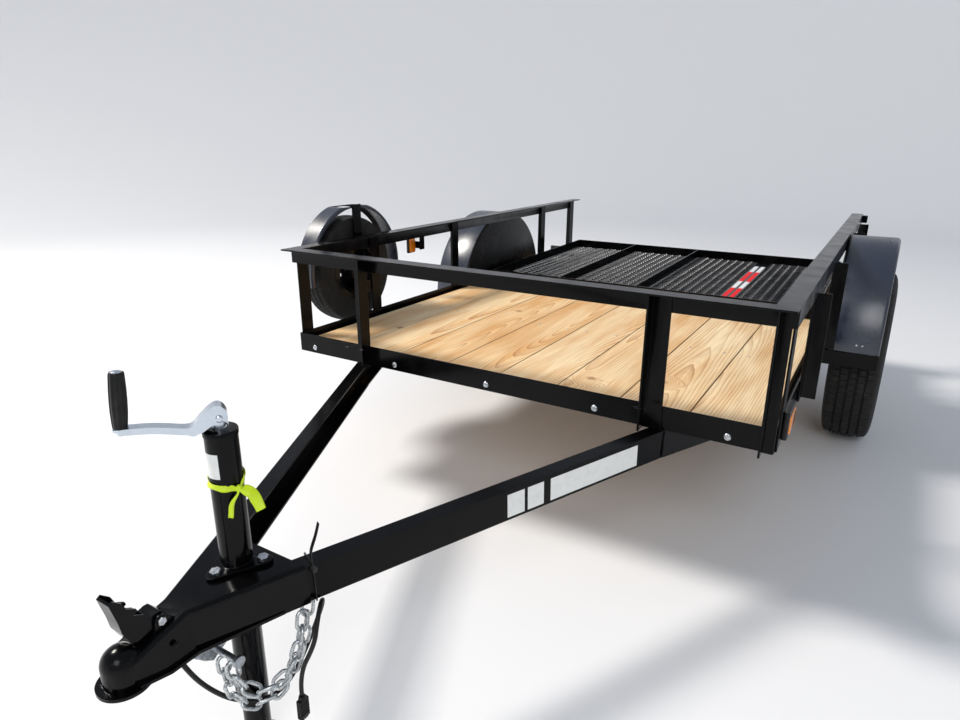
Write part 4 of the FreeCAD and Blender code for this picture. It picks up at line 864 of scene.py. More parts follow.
@dataclass
class PhotoCamera:
    """Camera at the photograph's place and angle."""

    place: tuple[float, float, float] = (0.92267, -2.12512, 1.16463)
    yaw: float = -0.5508418
    pitch: float = 0.3200757
    roll: float = 0.0032811
    lens: float = 25.009

    def build(self) -> None:
        """Aims the camera: forward from yaw and pitch, then right and up turned by the roll."""
        ahead = math.cos(self.pitch)
        forward = np.array([math.sin(self.yaw) * ahead, math.cos(self.yaw) * ahead, -math.sin(self.pitch)])
        level = np.array([math.cos(self.yaw), -math.sin(self.yaw), 0.0])
        over = np.cross(level, forward)
        c, s = math.cos(self.roll), math.sin(self.roll)
        right, up = level * c + over * s, over * c - level * s
        data = bpy.data.cameras.new("photo_camera")
        data.lens = self.lens
        data.sensor_width = 36.0
        data.clip_start, data.clip_end = 0.05, 100.0
        camera = placed("photo_camera", data)
        turn = Matrix(np.stack([right, up, -forward], 1).tolist()).to_4x4()
        camera.matrix_world = Matrix.Translation(self.place) @ turn
        bpy.context.scene.camera = camera
        LOG.info("camera: lens %.2f mm", self.lens)


@dataclass
class HarnessCable:
    """Wiring cable that leaves the neck, hangs in a loop, goes up over the tie and down to its plug."""

    diameter: float = 0.009
    length: float = 0.81
    route: tuple = (
        (0.0202, -1.625, 0.353), (0.021, -1.607, 0.297), (0.020, -1.569, 0.225), (0.020, -1.523, 0.163),
        (0.044, -1.473, 0.135), (0.052, -1.423, 0.143), (0.065, -1.386, 0.201), (0.102, -1.371, 0.304),
        (0.118, -1.380, 0.339), (0.135, -1.403, 0.349), (0.150, -1.429, 0.330), (0.146, -1.436, 0.285),
        (0.102, -1.440, 0.200), (0.090, -1.429, 0.135),
    )
    plug_tall: float = 0.050
    plug_ribs: tuple = (0.016, 0.0235, 0.031, 0.0385)
    contacts: tuple = (-0.0075, -0.0025, 0.0025, 0.0075)

    def plug(self) -> bpy.types.Object:
        """Flat moulded plug: an eased block, finger ribs on its wide faces, a tapered neck and contacts.

        The blocks are (half thickness, half width, bottom, top, easing).
        """
        low, high, middle = cad_box("harness_plug")
        x, y, foot, shoulder = middle[0], middle[1], low[2], low[2] + self.plug_tall
        blocks = [(0.0058, 0.012, foot + 0.006, shoulder, 0.002)]
        blocks += [(0.007, 0.010, foot + z - 0.0016, foot + z + 0.0016, 0.0007) for z in self.plug_ribs]
        boxes = [eased_box((x - a, y - b, bottom), (x + a, y + b, top), ease)
                 for a, b, bottom, top, ease in blocks]
        neck = turned([(0, 0.0082), (0.003, 0.0078), (high[2] - shoulder, 0.0062)],
                      (x, y, shoulder - 0.0005), UP, 16)
        shrouds = [turned([(0, 0.0026), (0.0075, 0.0026)], (x, y + dy, foot), UP, 10) for dy in self.contacts]
        return put("harness_plug_moulded", joined(*boxes, neck, *shrouds), JACKET, replaced=("harness_plug",))

    def build(self) -> None:
        """Cable as one open spline through the route's control points, with its given length logged."""
        data = bpy.data.curves.new("harness_cable_jacket", "CURVE")
        data.dimensions = "3D"
        data.bevel_depth = self.diameter / 2
        data.bevel_resolution = 3
        data.resolution_u = 12
        data.use_fill_caps = True
        spline = data.splines.new("NURBS")
        spline.points.add(len(self.route) - 1)
        flat = np.column_stack([np.array(self.route), np.ones(len(self.route))])
        spline.points.foreach_set("co", flat.ravel())
        spline.order_u = 3
        spline.use_endpoint_u = True
        data.materials.append(JACKET.material())
        cable = placed("harness_cable_jacket", data)
        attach(cable, Body.CHASSIS.value)
        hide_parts("harness_cable")
        self.plug()
        LOG.info("harness_cable_jacket: %.2f m", self.length)


# The studio


@dataclass
class Studio:
    """Pale floor that rises into a round backdrop, soft lamps and an even sky."""

    flat_radius: float = 8.0
    rise_radius: float = 4.0
    height: float = 7.0
    steps: int = 96
    sky: float = 0.5
    aim: tuple[float, float, float] = (0.0, 0.0, 0.4)

    def floor(self) -> None:
        """Bowl: flat out to one radius, then a quarter circle up, then a wall, turned about the upright."""
        t = np.linspace(0, np.pi / 2, 14)[1:]
        out = np.concatenate([np.linspace(0.01, self.flat_radius, 6),
                              self.flat_radius + self.rise_radius * np.append(np.sin(t), 1)])
        up = np.concatenate([np.zeros(6), self.rise_radius * (1 - np.cos(t)), [self.height]])
        a = angles(self.steps)
        points = np.stack([out[:, None] * np.cos(a), out[:, None] * np.sin(a),
                           np.broadcast_to(up[:, None], (len(out), self.steps))], -1)
        bowl = over_grid(points, close_v=True)
        data = bpy.data.meshes.new("studio_floor")
        data.from_pydata(bowl.points.tolist(), [], bowl.quads.tolist() + [list(range(self.steps))])
        data.polygons.foreach_set("use_smooth", np.ones(len(data.polygons), bool))
        data.materials.append(FLOOR.material())
        piece = placed("studio_floor", data)

    def lamp(self, name: str, place: tuple, size: float, colour: str, power: float) -> None:
        """Square soft lamp aimed at the middle of the trailer.

        Args:
            name: Name of the lamp.
            place: Where it hangs.
            size: Its side.
            colour: The colour of its light.
            power: Its power in watts.
        """
        data = bpy.data.lights.new(name, "AREA")
        data.shape, data.size, data.energy, data.color = "SQUARE", size, power, linear(colour)[:3]
        lamp = placed(name, data)
        lamp.location = place
        lamp.rotation_euler = (Vector(self.aim) - Vector(place)).to_track_quat("-Z", "Y").to_euler()

    def build(self) -> None:
        """Floor, lamps and sky."""
        self.floor()
        self.lamp("key_lamp", (-6.0, -2.6, 8.4), 2.4, "#fff9f1", 1150)
        self.lamp("front_lamp", (3.0, -6.4, 5.2), 3.0, "#ffffff", 150)
        world = bpy.data.worlds.new("studio_sky")
        bpy.context.scene.world = world
        world.use_nodes = True
        back = world.node_tree.nodes["Background"]
        back.inputs["Color"].default_value = linear("#dfeafa")
        back.inputs["Strength"].default_value = self.sky
        bpy.context.scene.view_settings.view_transform = "Standard"
        LOG.info("studio built")


# Sub-assemblies


@dataclass
class BedAndRails:
    """Bed frame, side rails and their posts, with welds, the front bolts and the deck's screws."""

    bolt_places: tuple = (-0.701, -0.356, -0.018, 0.320, 0.663)
    bolt_rise: float = 0.019
    bolt_radius: float = 0.009
    corner_leg: tuple = (0.715, 0.726)
    corner_shift: float = 0.021
    boards: int = 8
    board_gap: float = 0.0015
    screw_lanes: tuple = (0.2, 0.8)
    screw_radius: float = 0.0042
    screw_sunk: float = 0.0004
    foot_beads: tuple = (-0.523, 0.438, 0.464, -0.465)
    bead_long: float = 0.024

    def build(self) -> None:
        """Rolled edges on every angle, zinc bolts along the front face, screws in the deck, welds."""
        for node in ("bed_frame", "cross_angles", "top_rail", "front_posts", "side_posts"):
            piece = eased(node, FRAME_ENAMEL)
            if node == "front_posts":
                moved(piece, self.narrow_corner)
        spots = [at(x, -0.0002, self.bolt_rise) for x in self.bolt_places]
        put("front_rail_bolts", Fastener.CARRIAGE.heads(spots, FORWARD, self.bolt_radius), ZINC)
        self.screws()
        self.beads()

    def narrow_corner(self, points: np.ndarray) -> np.ndarray:
        """The road-side corner post's inner leg, moved outwards to the narrower angle that is seen there."""
        near, far = self.corner_leg
        inner = (points[:, 0] > near) & (points[:, 0] < far)
        return points + np.outer(inner, (self.corner_shift, 0, 0))

    def screws(self) -> None:
        """Flat heads in two rows along each board, over the three cross angles and both ends."""
        low, high, _ = cad_box("deck_boards")
        pitch = (high[0] - low[0] + self.board_gap) / self.boards
        x = low[0] + pitch * (np.arange(self.boards)[:, None] + np.array(self.screw_lanes)).ravel()
        y = np.array([low[1] + 0.028, low[1] + 0.60, low[1] + 1.13, high[1] - 0.60, high[1] - 0.028])
        grid = np.stack(np.meshgrid(x, y, [high[2] - self.screw_sunk], indexing="ij"), -1).reshape(-1, 3)
        put("deck_screws", Fastener.CARRIAGE.heads(grid, UP, self.screw_radius), ZINC)

    def beads(self) -> None:
        """Beads at the feet of the front posts, and where the tongue meets the bed."""
        seams = [weld(at(x, -0.0415, 0.0635), at(x + self.bead_long, -0.0415, 0.0635), 0.0025)
                 for x in self.foot_beads]
        for side in (-1, 1):
            seams += [weld(at(side * 0.477, -0.001, rise), at(side * 0.511, -0.001, rise))
                      for rise in (-0.001, -0.074)]
            seams.append(weld(at(side * 0.5125, -0.0015, -0.002), at(side * 0.5125, -0.0015, -0.074)))
        put("bed_welds", joined(*seams), FRAME_ENAMEL, crease=60)


@dataclass
class Deck:
    """Eight lengthwise boards with eased edges."""

    ease: float = 0.0035

    def build(self) -> None:
        """Boards copied from the frame, with planed edges rolled over."""
        eased("deck_boards", PINE, self.ease)


@dataclass
class Tongue:
    """Channels, coupler, latch lever, chain bracket, blank labels and the tie round the cable."""

    label_runs: tuple = ((-0.444, -0.402), (-0.394, -0.353), (-0.335, -0.086))
    label_low: float = -0.069
    label_high: float = -0.012
    film: float = 0.0004
    tie_station: float = -0.841
    tie_bend: float = 0.003
    lever_pin: tuple = (-1.63738, 0.42663)
    lever_base: float = 0.016
    lever_rise: float = 0.040
    lever_shrink: tuple = (0.0, 0.13, 0.16)
    flange_bolts: tuple = ((0.042, -0.884), (-0.042, -0.884), (0.0, -0.955))
    rivet: tuple = (0.0402, -1.0693, -0.0838)

    def build(self) -> None:
        """Dresses the steel, then adds bolts, labels and the tie."""
        for node, finish, radius in (("tongue_beam_roadside", FRAME_ENAMEL, 0.002),
                                     ("tongue_beam_curbside", FRAME_ENAMEL, 0.002),
                                     ("coupler", COUPLER_ENAMEL, 0.0014)):
            eased(node, finish, radius)
        moved(eased("coupler_latch", COUPLER_ENAMEL, body=Body.LATCH), self.shorter_lever)
        eased("chain_bracket", ZINC, 0.0008)
        self.labels()
        self.bolts()
        self.tie()

    def shorter_lever(self, points: np.ndarray) -> np.ndarray:
        """The lever's handle drawn in towards its pin: both ways shrink, more with height over the pin."""
        pin = np.array([0, *self.lever_pin])
        away = points - pin
        share = np.clip((away[:, 2] - self.lever_base) / self.lever_rise, 0, 1)
        return pin + away * (1 - np.outer(share, self.lever_shrink))

    def labels(self) -> None:
        """Blank labels: thin slabs of film on the outer face of the road-side channel."""
        parts = [slab(on_beam, np.linspace(*run, 12), self.label_low, self.label_high, self.film)
                 for run in self.label_runs]
        put("blank_labels", joined(*parts), LABEL, crease=30)

    def bolts(self) -> None:
        """Bolts of the coupler's top plate and of the lever's pin, and the painted rivet on its neck."""
        up = np.array([0, -math.sin(TONGUE_DROOP), math.cos(TONGUE_DROOP)])
        top = [on_tongue(x, station, 0.0052) + up * 0.0078 for x, station in self.flange_bolts]
        put("jack_flange_bolts", Fastener.HEX.heads(top, up, 0.0105), ZINC)
        pins = [on_tongue(side * 0.0222, -1.077, 0.012) for side in (-1, 1)]
        put("latch_pin_heads", Fastener.HEX.heads(pins, [(-1, 0, 0), ALONG_X], 0.0075), ZINC)
        head = turned([(-0.001, 0.0054), (0.0010, 0.0052), (0.0022, 0.0038), (0.0027, 0.0013)],
                      at(*self.rivet), ALONG_X, 28)
        put("neck_rivet", head, COUPLER_ENAMEL, crease=50)

    def tie(self) -> None:
        """Nylon tie round the channel and the cable, its tail standing up past the plate's edge.

        The band's line is a rectangle round the channel with a quarter circle at each corner.
        """
        strip = np.array([(-0.0038, -0.0008), (0.0038, -0.0008), (0.0038, 0.0008), (-0.0038, 0.0008)])
        outer, inner, high, low = 0.0012, -0.0390, 0.0012, -0.0772
        corners = ((outer, high, 1, 1), (inner, high, -1, 1), (inner, low, -1, -1), (outer, low, 1, -1))
        loop = [on_beam(self.tie_station, rise + self.tie_bend * (math.sin(a + k * np.pi / 2) - way_up),
                        out + self.tie_bend * (math.cos(a + k * np.pi / 2) - way_out))
                for k, (out, rise, way_out, way_up) in enumerate(corners)
                for a in np.linspace(0, np.pi / 2, 4)]
        band = swept(strip, np.array(loop), on_beam(-0.7, 0, 0) - on_beam(-0.9, 0, 0), closed=True)
        lock = on_beam(self.tie_station, -0.006, 0.006)
        head = eased_box(lock - 0.005, lock + 0.005, 0.0012)
        tail_line = smooth_path([on_beam(self.tie_station, -0.006, 0.008), (0.133, -1.414, 0.462),
                                 (0.149, -1.417, 0.500), (0.165, -1.420, 0.539)], 30)
        tail = swept(strip, tail_line, (0.3, 1, 0), scale=np.linspace(1, 0.85, 30))
        put("nylon_tie", joined(band, head, tail), NYLON)


@dataclass
class Jack:
    """Tongue jack: tube with its cap and flange, folded crank, ribbed grip, leg, blank label and ribbon."""

    axis_y: float = BED_FRONT - 0.908
    tube: float = 0.0285
    top: float = RAIL_UNDERSIDE + 0.230
    crank_turn: float = math.radians(233.3)
    crank_wall: float = 0.0026
    pin_rise: float = 0.2524
    label_low: float = 0.147
    label_high: float = 0.193
    label_turn: tuple[float, float] = (240, 304)
    label_film: float = 0.0004
    ribbon_wide: float = 0.021
    ribbon_thick: float = 0.0003

    def axis_point(self, out: float, turn: float, rise: float) -> np.ndarray:
        """Point at a distance from the jack's axis, in a direction in plan, at a rise."""
        return np.array([out * math.cos(turn), self.axis_y + out * math.sin(turn), RAIL_UNDERSIDE + rise])

    def build(self) -> None:
        """All the jack's pieces."""
        eased("jack_tube", GLOSS_ENAMEL)
        eased("jack_leg", GLOSS_ENAMEL, body=Body.JACK_LEG)
        self.crank()
        self.grip()
        self.cap()
        self.label()
        self.ribbon()

    def crank(self) -> None:
        """Folded channel: a U outline carried along the arm, its flanges deeper over the hub.

        The outline runs up one flange, over the top and down the other, then back along the inside. Its
        eight places across the arm are in side and its eight heights in drop. The arm's own line is given
        as distances from the jack's axis and heights over its tube.
        """
        run = [(-0.0145, 0, 0.0315), (-0.010, 0, 0.040), (-0.001, 0, 0.0462), (0.010, 0, 0.0435),
               (0.022, 0, 0.034), (0.034, 0, 0.0225), (0.044, 0, 0.0135), (0.054, 0, 0.0130),
               (0.075, 0, 0.0172), (0.098, 0, 0.0215), (0.125, 0, 0.0242), (0.150, 0, 0.0250),
               (0.159, 0, 0.0250)]
        path = smooth_path(run, 90)[:, [0, 2]]
        deep = np.interp(path[:, 0], [-0.0145, 0.006, 0.027, 0.050, 0.140, 0.159],
                         [0.022, 0.033, 0.028, 0.0125, 0.0110, 0.0035])
        wide = np.interp(path[:, 0], [-0.0145, -0.008, 0.02, 0.06, 0.150, 0.159],
                         [0.0115, 0.0130, 0.0130, 0.0108, 0.0108, 0.0085])
        thin = wide - self.crank_wall
        level = np.zeros_like(deep)
        under = level - self.crank_wall
        side = np.stack([wide, wide, -wide, -wide, -thin, -thin, thin, thin], -1)
        drop = np.stack([-deep, level, level, -deep, -deep, under, under, -deep], -1)
        c, s = math.cos(self.crank_turn), math.sin(self.crank_turn)
        out = path[:, :1]
        points = np.stack([out * c - side * s, self.axis_y + out * s + side * c,
                           self.top + path[:, 1:] + drop], -1)
        lid = np.array([[0, 1, 6, 7], [1, 2, 5, 6], [2, 3, 4, 5]])
        hub = turned([(0, 0.0118), (0.0035, 0.0118), (0.0045, 0.0098), (0.016, 0.0098), (0.017, 0.0085),
                      (0.036, 0.0085)], (0, self.axis_y, self.top), UP)
        pin = turned([(-0.0172, 0.0042), (-0.0160, 0.0058), (-0.0135, 0.006), (-0.0135, 0.004),
                      (0.0135, 0.004), (0.0135, 0.006), (0.0160, 0.0058), (0.0172, 0.0042)],
                     self.axis_point(-0.001, self.crank_turn, self.pin_rise), (-s, c, 0), 18)
        arm = joined(over_grid(points, close_v=True), Surface(points[0], lid), Surface(points[-1], lid),
                     hub, pin)
        put("crank_folded_arm", arm, ARM_ZINC, replaced=("jack_crank",), crease=28)

    def grip(self) -> None:
        """Grip: r = r0(z)(1 + d cos n t) about an axis that leans to the jack, with a rivet at its top."""
        foot = self.axis_point(0.1485, self.crank_turn, 0.2535)
        head = self.axis_point(0.1405, self.crank_turn, 0.3500)
        axis = head - foot
        share = np.array([0, 0.012, 0.04, 0.12, 0.3, 0.5, 0.7, 0.86, 0.94, 0.975, 0.99, 1.0])
        millimetres = np.array([9.4, 10.6, 11.2, 11.9, 12.9, 13.2, 12.9, 12.2, 11.8, 11.4, 10.8, 9.6])
        rows = np.column_stack([share * np.linalg.norm(axis), millimetres / 1000])
        body = turned(rows, foot, axis, 96, flutes=10, depth=0.045)
        put("crank_grip_ribbed", body, GRIP, replaced=("jack_grip",), crease=50)
        rivet = turned([(0, 0.0088), (0.0010, 0.0086), (0.0020, 0.0062), (0.0026, 0.003)],
                       head - unit(axis) * 0.0004, axis, 28)
        stem = turned([(-0.012, 0.0048), (0.006, 0.0048)], foot, axis, 14)
        put("crank_grip_rivet", joined(rivet, stem), ARM_ZINC, crease=40)

    def cap(self) -> None:
        """Pressed cap on the tube: a low dome with a rolled rim."""
        rim = turned([(-0.010, 0.0291), (-0.0095, 0.0298), (-0.001, 0.0298), (0.0005, 0.0288),
                      (0.0008, 0.020)], (0, self.axis_y, self.top), UP, 48)
        put("jack_cap", rim, GLOSS_ENAMEL, crease=50)

    def label(self) -> None:
        """Blank label bent round the tube: an arc of film at the tube's radius."""
        film = slab(lambda turn, rise, out: self.axis_point(self.tube + out, turn, rise),
                    np.radians(np.linspace(*self.label_turn, 24)), self.label_low, self.label_high,
                    self.label_film)
        put("jack_blank_label", film, LABEL, crease=40)

    def ribbon_line(self, knot: np.ndarray) -> np.ndarray:
        """Middle line of the ribbon: in from a tail to the knot, round the tube and out to the other tail.

        The turns round the tube are in degrees, each with its rise.
        """
        rises = {340: 0.1275, 316: 0.129, 292: 0.131, 268: 0.1325, 236: 0.133, 205: 0.135, 175: 0.138,
                 145: 0.141, 115: 0.143, 85: 0.1425, 60: 0.140, 38: 0.135, 18: 0.130}
        band = [self.axis_point(self.tube + 0.0022, math.radians(turn), rise)
                for turn, rise in rises.items()]
        first = [(0.0275, -1.4900, 0.540), (0.0290, -1.4885, 0.554), (0.0320, -1.4850, 0.570),
                 knot + (0.0, -0.003, -0.004)]
        last = [knot + (0.004, 0.001, 0.000), (0.0530, -1.4680, 0.5900), (0.0680, -1.4695, 0.5860),
                (0.0800, -1.4720, 0.5780), (0.0900, -1.4745, 0.5680)]
        return smooth_path([*first, *band, *last], 260)

    def ribbon(self) -> None:
        """Lime ribbon tied round the tube, as one strip with its knot.

        The strip's width is a straight line across its middle line that leans a little with a sine, so that
        the film lies creased. Past a share of 0.8 of its length the free tail turns to face the camera. The
        two Gaussian dips in its width are the places gathered at the knot.
        """
        knot = self.axis_point(self.tube + 0.006, math.radians(357), 0.127)
        line = self.ribbon_line(knot)
        share = np.linspace(0, 1, len(line))
        free = np.clip((share - 0.80) / 0.06, 0, 1)[:, None]
        out = unit((line - (0, self.axis_y, 0)) * (1, 1, 0))
        out = unit(out * (1 - free) + unit((0.62, -0.74, 0.25)) * free)
        lean = 0.18 * np.sin(share * 47)[:, None] * (1 - free)
        across = unit(unit(np.cross(unit(np.gradient(line, axis=0)), out)) + lean * out)
        near = np.exp(-((share - 0.155) / 0.035) ** 2) + np.exp(-((share - 0.79) / 0.035) ** 2)
        half = self.ribbon_wide / 2 * (1 - 0.62 * np.clip(near, 0, 1)) * np.interp(
            share, [0, 0.12, 0.2, 0.76, 0.84, 0.92, 1], [0.42, 0.42, 0.58, 0.58, 1, 1, 0.8])
        v = np.linspace(-1, 1, 9)
        sag = 0.0012 * np.sin(3.1 * v[None] + 9 * share[:, None])
        points = (line[:, None] + across[:, None] * (half[:, None] * v)[..., None]
                  + out[:, None] * sag[..., None])
        sheet = put("lime_ribbon", over_grid(points), RIBBON, crease=80)
        thick = sheet.modifiers.new("film_thickness", "SOLIDIFY")
        thick.thickness = self.ribbon_thick
        lump = turned([(-0.0062, 0.0020), (-0.0045, 0.0046), (0, 0.0056), (0.0045, 0.0044), (0.0060, 0.0018)],
                      knot, (0.15, 0.2, 1), 30, flutes=5, depth=0.14)
        put("ribbon_knot", lump, RIBBON, crease=60)


@dataclass
class SafetyChains:
    """Two chains of round-wire links that hang in loops from the bracket's bolt."""

    wire: float = 0.0035
    long_half: float = 0.01775
    wide_half: float = 0.01015
    pitch: float = 0.027
    routes: tuple = (
        ((0.054, -0.983, -0.1823), (0.055, -0.983, -0.205), (0.064, -0.974, -0.232), (0.084, -0.955, -0.250),
         (0.106, -0.930, -0.240), (0.120, -0.900, -0.205), (0.120, -0.880, -0.160), (0.116, -0.868, -0.1247)),
        ((0.028, -0.983, -0.1823), (0.032, -0.980, -0.240), (0.046, -0.962, -0.290), (0.066, -0.932, -0.302),
         (0.084, -0.896, -0.275), (0.094, -0.864, -0.220), (0.098, -0.846, -0.165), (0.098, -0.838, -0.1244)),
    )

    def link(self) -> Surface:
        """One link: round wire along a stadium, two half circles joined by straight sides."""
        t = np.linspace(-np.pi / 2, np.pi / 2, 9)
        straight = self.long_half - self.wide_half
        arc = np.stack([straight + self.wide_half * np.cos(t), self.wide_half * np.sin(t), 0 * t], -1)
        return swept(round_outline(self.wire, 8), np.vstack([arc, -arc]), UP, closed=True)

    def build(self) -> None:
        """Links set along each route, each turned a quarter turn from the last."""
        parts = []
        for route in self.routes:
            fine = smooth_path([at(*p) for p in route], 400)
            count = int(steps_between(fine).sum() / self.pitch)
            index = ((np.arange(count) + 0.5) / count * (len(fine) - 1)).astype(int)
            run = unit(np.gradient(fine, axis=0)[index])
            side = unit(np.cross(run, UP))
            rise = np.cross(run, side)
            roll = np.radians(45 + 90 * (np.arange(count) % 2))[:, None]
            a, b = side * np.cos(roll) + rise * np.sin(roll), rise * np.cos(roll) - side * np.sin(roll)
            parts.append(self.link().copies(np.stack([run, a, b], -1), fine[index]))
        put("safety_chain_links", joined(*parts), CHAIN_ZINC, replaced=("safety_chains",), crease=60)


@dataclass
class RoadTyre:
    """Tyre whose tread is cut by grooves round it and by slanted slots across its ribs."""

    node: str
    body: Body
    bead: float
    grooves: tuple = (-0.60, -0.20, 0.20, 0.60)
    groove_half: float = 0.05
    groove_wall: float = 0.012
    groove_deep: float = 0.008
    slot_deep: float = 0.0035
    pitches: int = 84
    steps_each: int = 8
    tread_share: float = 0.80
    crown_share: float = 0.010 / 0.34

    def build(self) -> None:
        """Section turned about the axle, its tread lowered where a groove or a slot runs.

        In the section, u runs across the tread from -1 to 1. The tread's radius is R - crown x u^2. A point
        is lowered by the groove's depth where it lies within a groove, and by the slot's depth on every
        eighth step round, shifted from rib to rib. The rows of the sidewall and of its inner face are
        (share of the half width, share of the wall below the shoulder).
        """
        low, high, centre = cad_box(self.node)
        half, radius = (high[0] - low[0]) / 2, (high[2] - low[2]) / 2
        edges = np.concatenate([[g - self.groove_half, g - self.groove_half + self.groove_wall,
                                 g + self.groove_half - self.groove_wall, g + self.groove_half]
                                for g in self.grooves])
        u = np.sort(np.concatenate([edges, [-1.0, -0.82, -0.4, 0.0, 0.4, 0.82, 1.0]]))
        floors = np.concatenate([edges[1::4], edges[2::4]])
        deep = np.where(np.isin(u, floors), self.groove_deep, 0.0)
        crown = self.crown_share * radius
        tread = np.stack([u * self.tread_share * half, radius - crown * u ** 2 - deep], -1)
        shoulder = radius - crown
        wall = shoulder - self.bead
        side = np.array([(0.865, 0.05), (0.93, 0.15), (0.978, 0.32), (1.0, 0.5), (0.985, 0.66), (0.955, 0.70),
                         (0.95, 0.80), (0.90, 0.86), (0.84, 1 - 0.006 / wall), (0.80, 1.0)])
        inner = np.array([(0.70, 1 - 0.004 / wall), (0.86, 0.7), (0.90, 0.45), (0.78, 0.16)])
        side, inner = (shares * (half, -wall) + (0, shoulder) for shares in (side, inner))
        rows = np.vstack([side[::-1] * (-1, 1), tread, side, inner, inner[::-1] * (-1, 1)])
        steps = self.pitches * self.steps_each
        t = angles(steps)
        away = np.repeat(rows[:, 1:], steps, 1)
        shift = (np.searchsorted(np.array(self.grooves), u) * 3 + np.round(2.5 * u).astype(int))[:, None]
        cut = ((np.arange(steps)[None] + shift) % self.steps_each == 0) & (deep[:, None] == 0)
        away[len(side):len(side) + len(u)] -= cut * self.slot_deep
        points = np.stack([np.repeat(centre[0] + rows[:, :1], steps, 1), centre[1] + away * np.cos(t),
                           centre[2] + away * np.sin(t)], -1)
        tyre = over_grid(points, close_u=True, close_v=True)
        put(self.node + "_treaded", tyre, TYRE, self.body, (self.node,), 38)


@dataclass
class RunningGear:
    """Wheels with their tyres, rims, hubs and nuts, the axle, springs, clamps and hangers."""

    bead: float = 0.1905
    wheel: tuple[float, float, float] = (0.883, BED_FRONT + 1.452, 0.340)
    nut_out: float = 0.0245
    valve_out: float = 0.030
    valve_rise: float = 0.148
    spring_x: float = 0.735
    clamp_half: tuple[float, float] = (0.0295, 0.037)
    clamp_drop: float = 0.038

    def build(self) -> None:
        """Both wheels, then the axle's group and the nuts under its tie plates."""
        x, y, z = self.wheel
        turn = np.radians(72 * np.arange(5) + 90)
        for word, side, body in (("roadside", 1, Body.WHEEL_ROAD), ("curbside", -1, Body.WHEEL_CURB)):
            RoadTyre("tyre_" + word, body, self.bead).build()
            eased("rim_" + word, WHEEL_ENAMEL, body=body)
            eased("hub_" + word, WHEEL_ENAMEL, 0.0008, body)
            spots = np.stack([np.full(5, side * (x + self.nut_out)), y + STUD_CIRCLE * np.cos(turn),
                              z + STUD_CIRCLE * np.sin(turn)], -1)
            put("wheel_nuts_" + word, Fastener.NUT.heads(spots, (side, 0, 0), 0.0118), ZINC, body)
            stem = turned([(0, 0.0042), (0.010, 0.0042), (0.012, 0.0034), (0.030, 0.0034), (0.031, 0.0028)],
                          (side * (x + self.valve_out), y, z + self.valve_rise), (side * 0.9, 0, -0.35), 12)
            put("valve_stem_" + word, stem, JACKET, body)
            dressed("leaf_spring_" + word, SPRING_ENAMEL)
        for node, finish, radius in (("axle_beam", FRAME_ENAMEL, 0.001),
                                     ("axle_clamps", SPRING_ENAMEL, 0.0008),
                                     ("spring_hangers", FRAME_ENAMEL, 0.001)):
            eased(node, finish, radius)
        across, along = self.clamp_half
        spots = [(side * self.spring_x + face * across, y + step * along, z - self.clamp_drop)
                 for side in (-1, 1) for face in (-1, 1) for step in (-1, 1)]
        put("clamp_nuts", Fastener.NUT.heads(spots, (0, 0, -1), 0.0092), ZINC)


@dataclass
class Fenders:
    """Round sheet fenders and their brackets."""

    bolt_places: tuple = (0.876, 0.894)
    bolt_y: float = 0.5115

    def build(self) -> None:
        """Fenders with rolled lips, their brackets, and two small bolts at the foot of each."""
        for node, finish, radius in (("fender_roadside", FENDER_ENAMEL, 0.0009),
                                     ("fender_curbside", FENDER_ENAMEL, 0.0009),
                                     ("fender_brackets", FRAME_ENAMEL, 0.0012)):
            eased(node, finish, radius)
        rise = cad_box("fender_brackets")[1][2] + 0.006
        spots = [(side * x, self.bolt_y, rise) for side in (-1, 1) for x in self.bolt_places]
        put("fender_bolts", Fastener.HEX.heads(spots, FORWARD, 0.0036), ZINC)


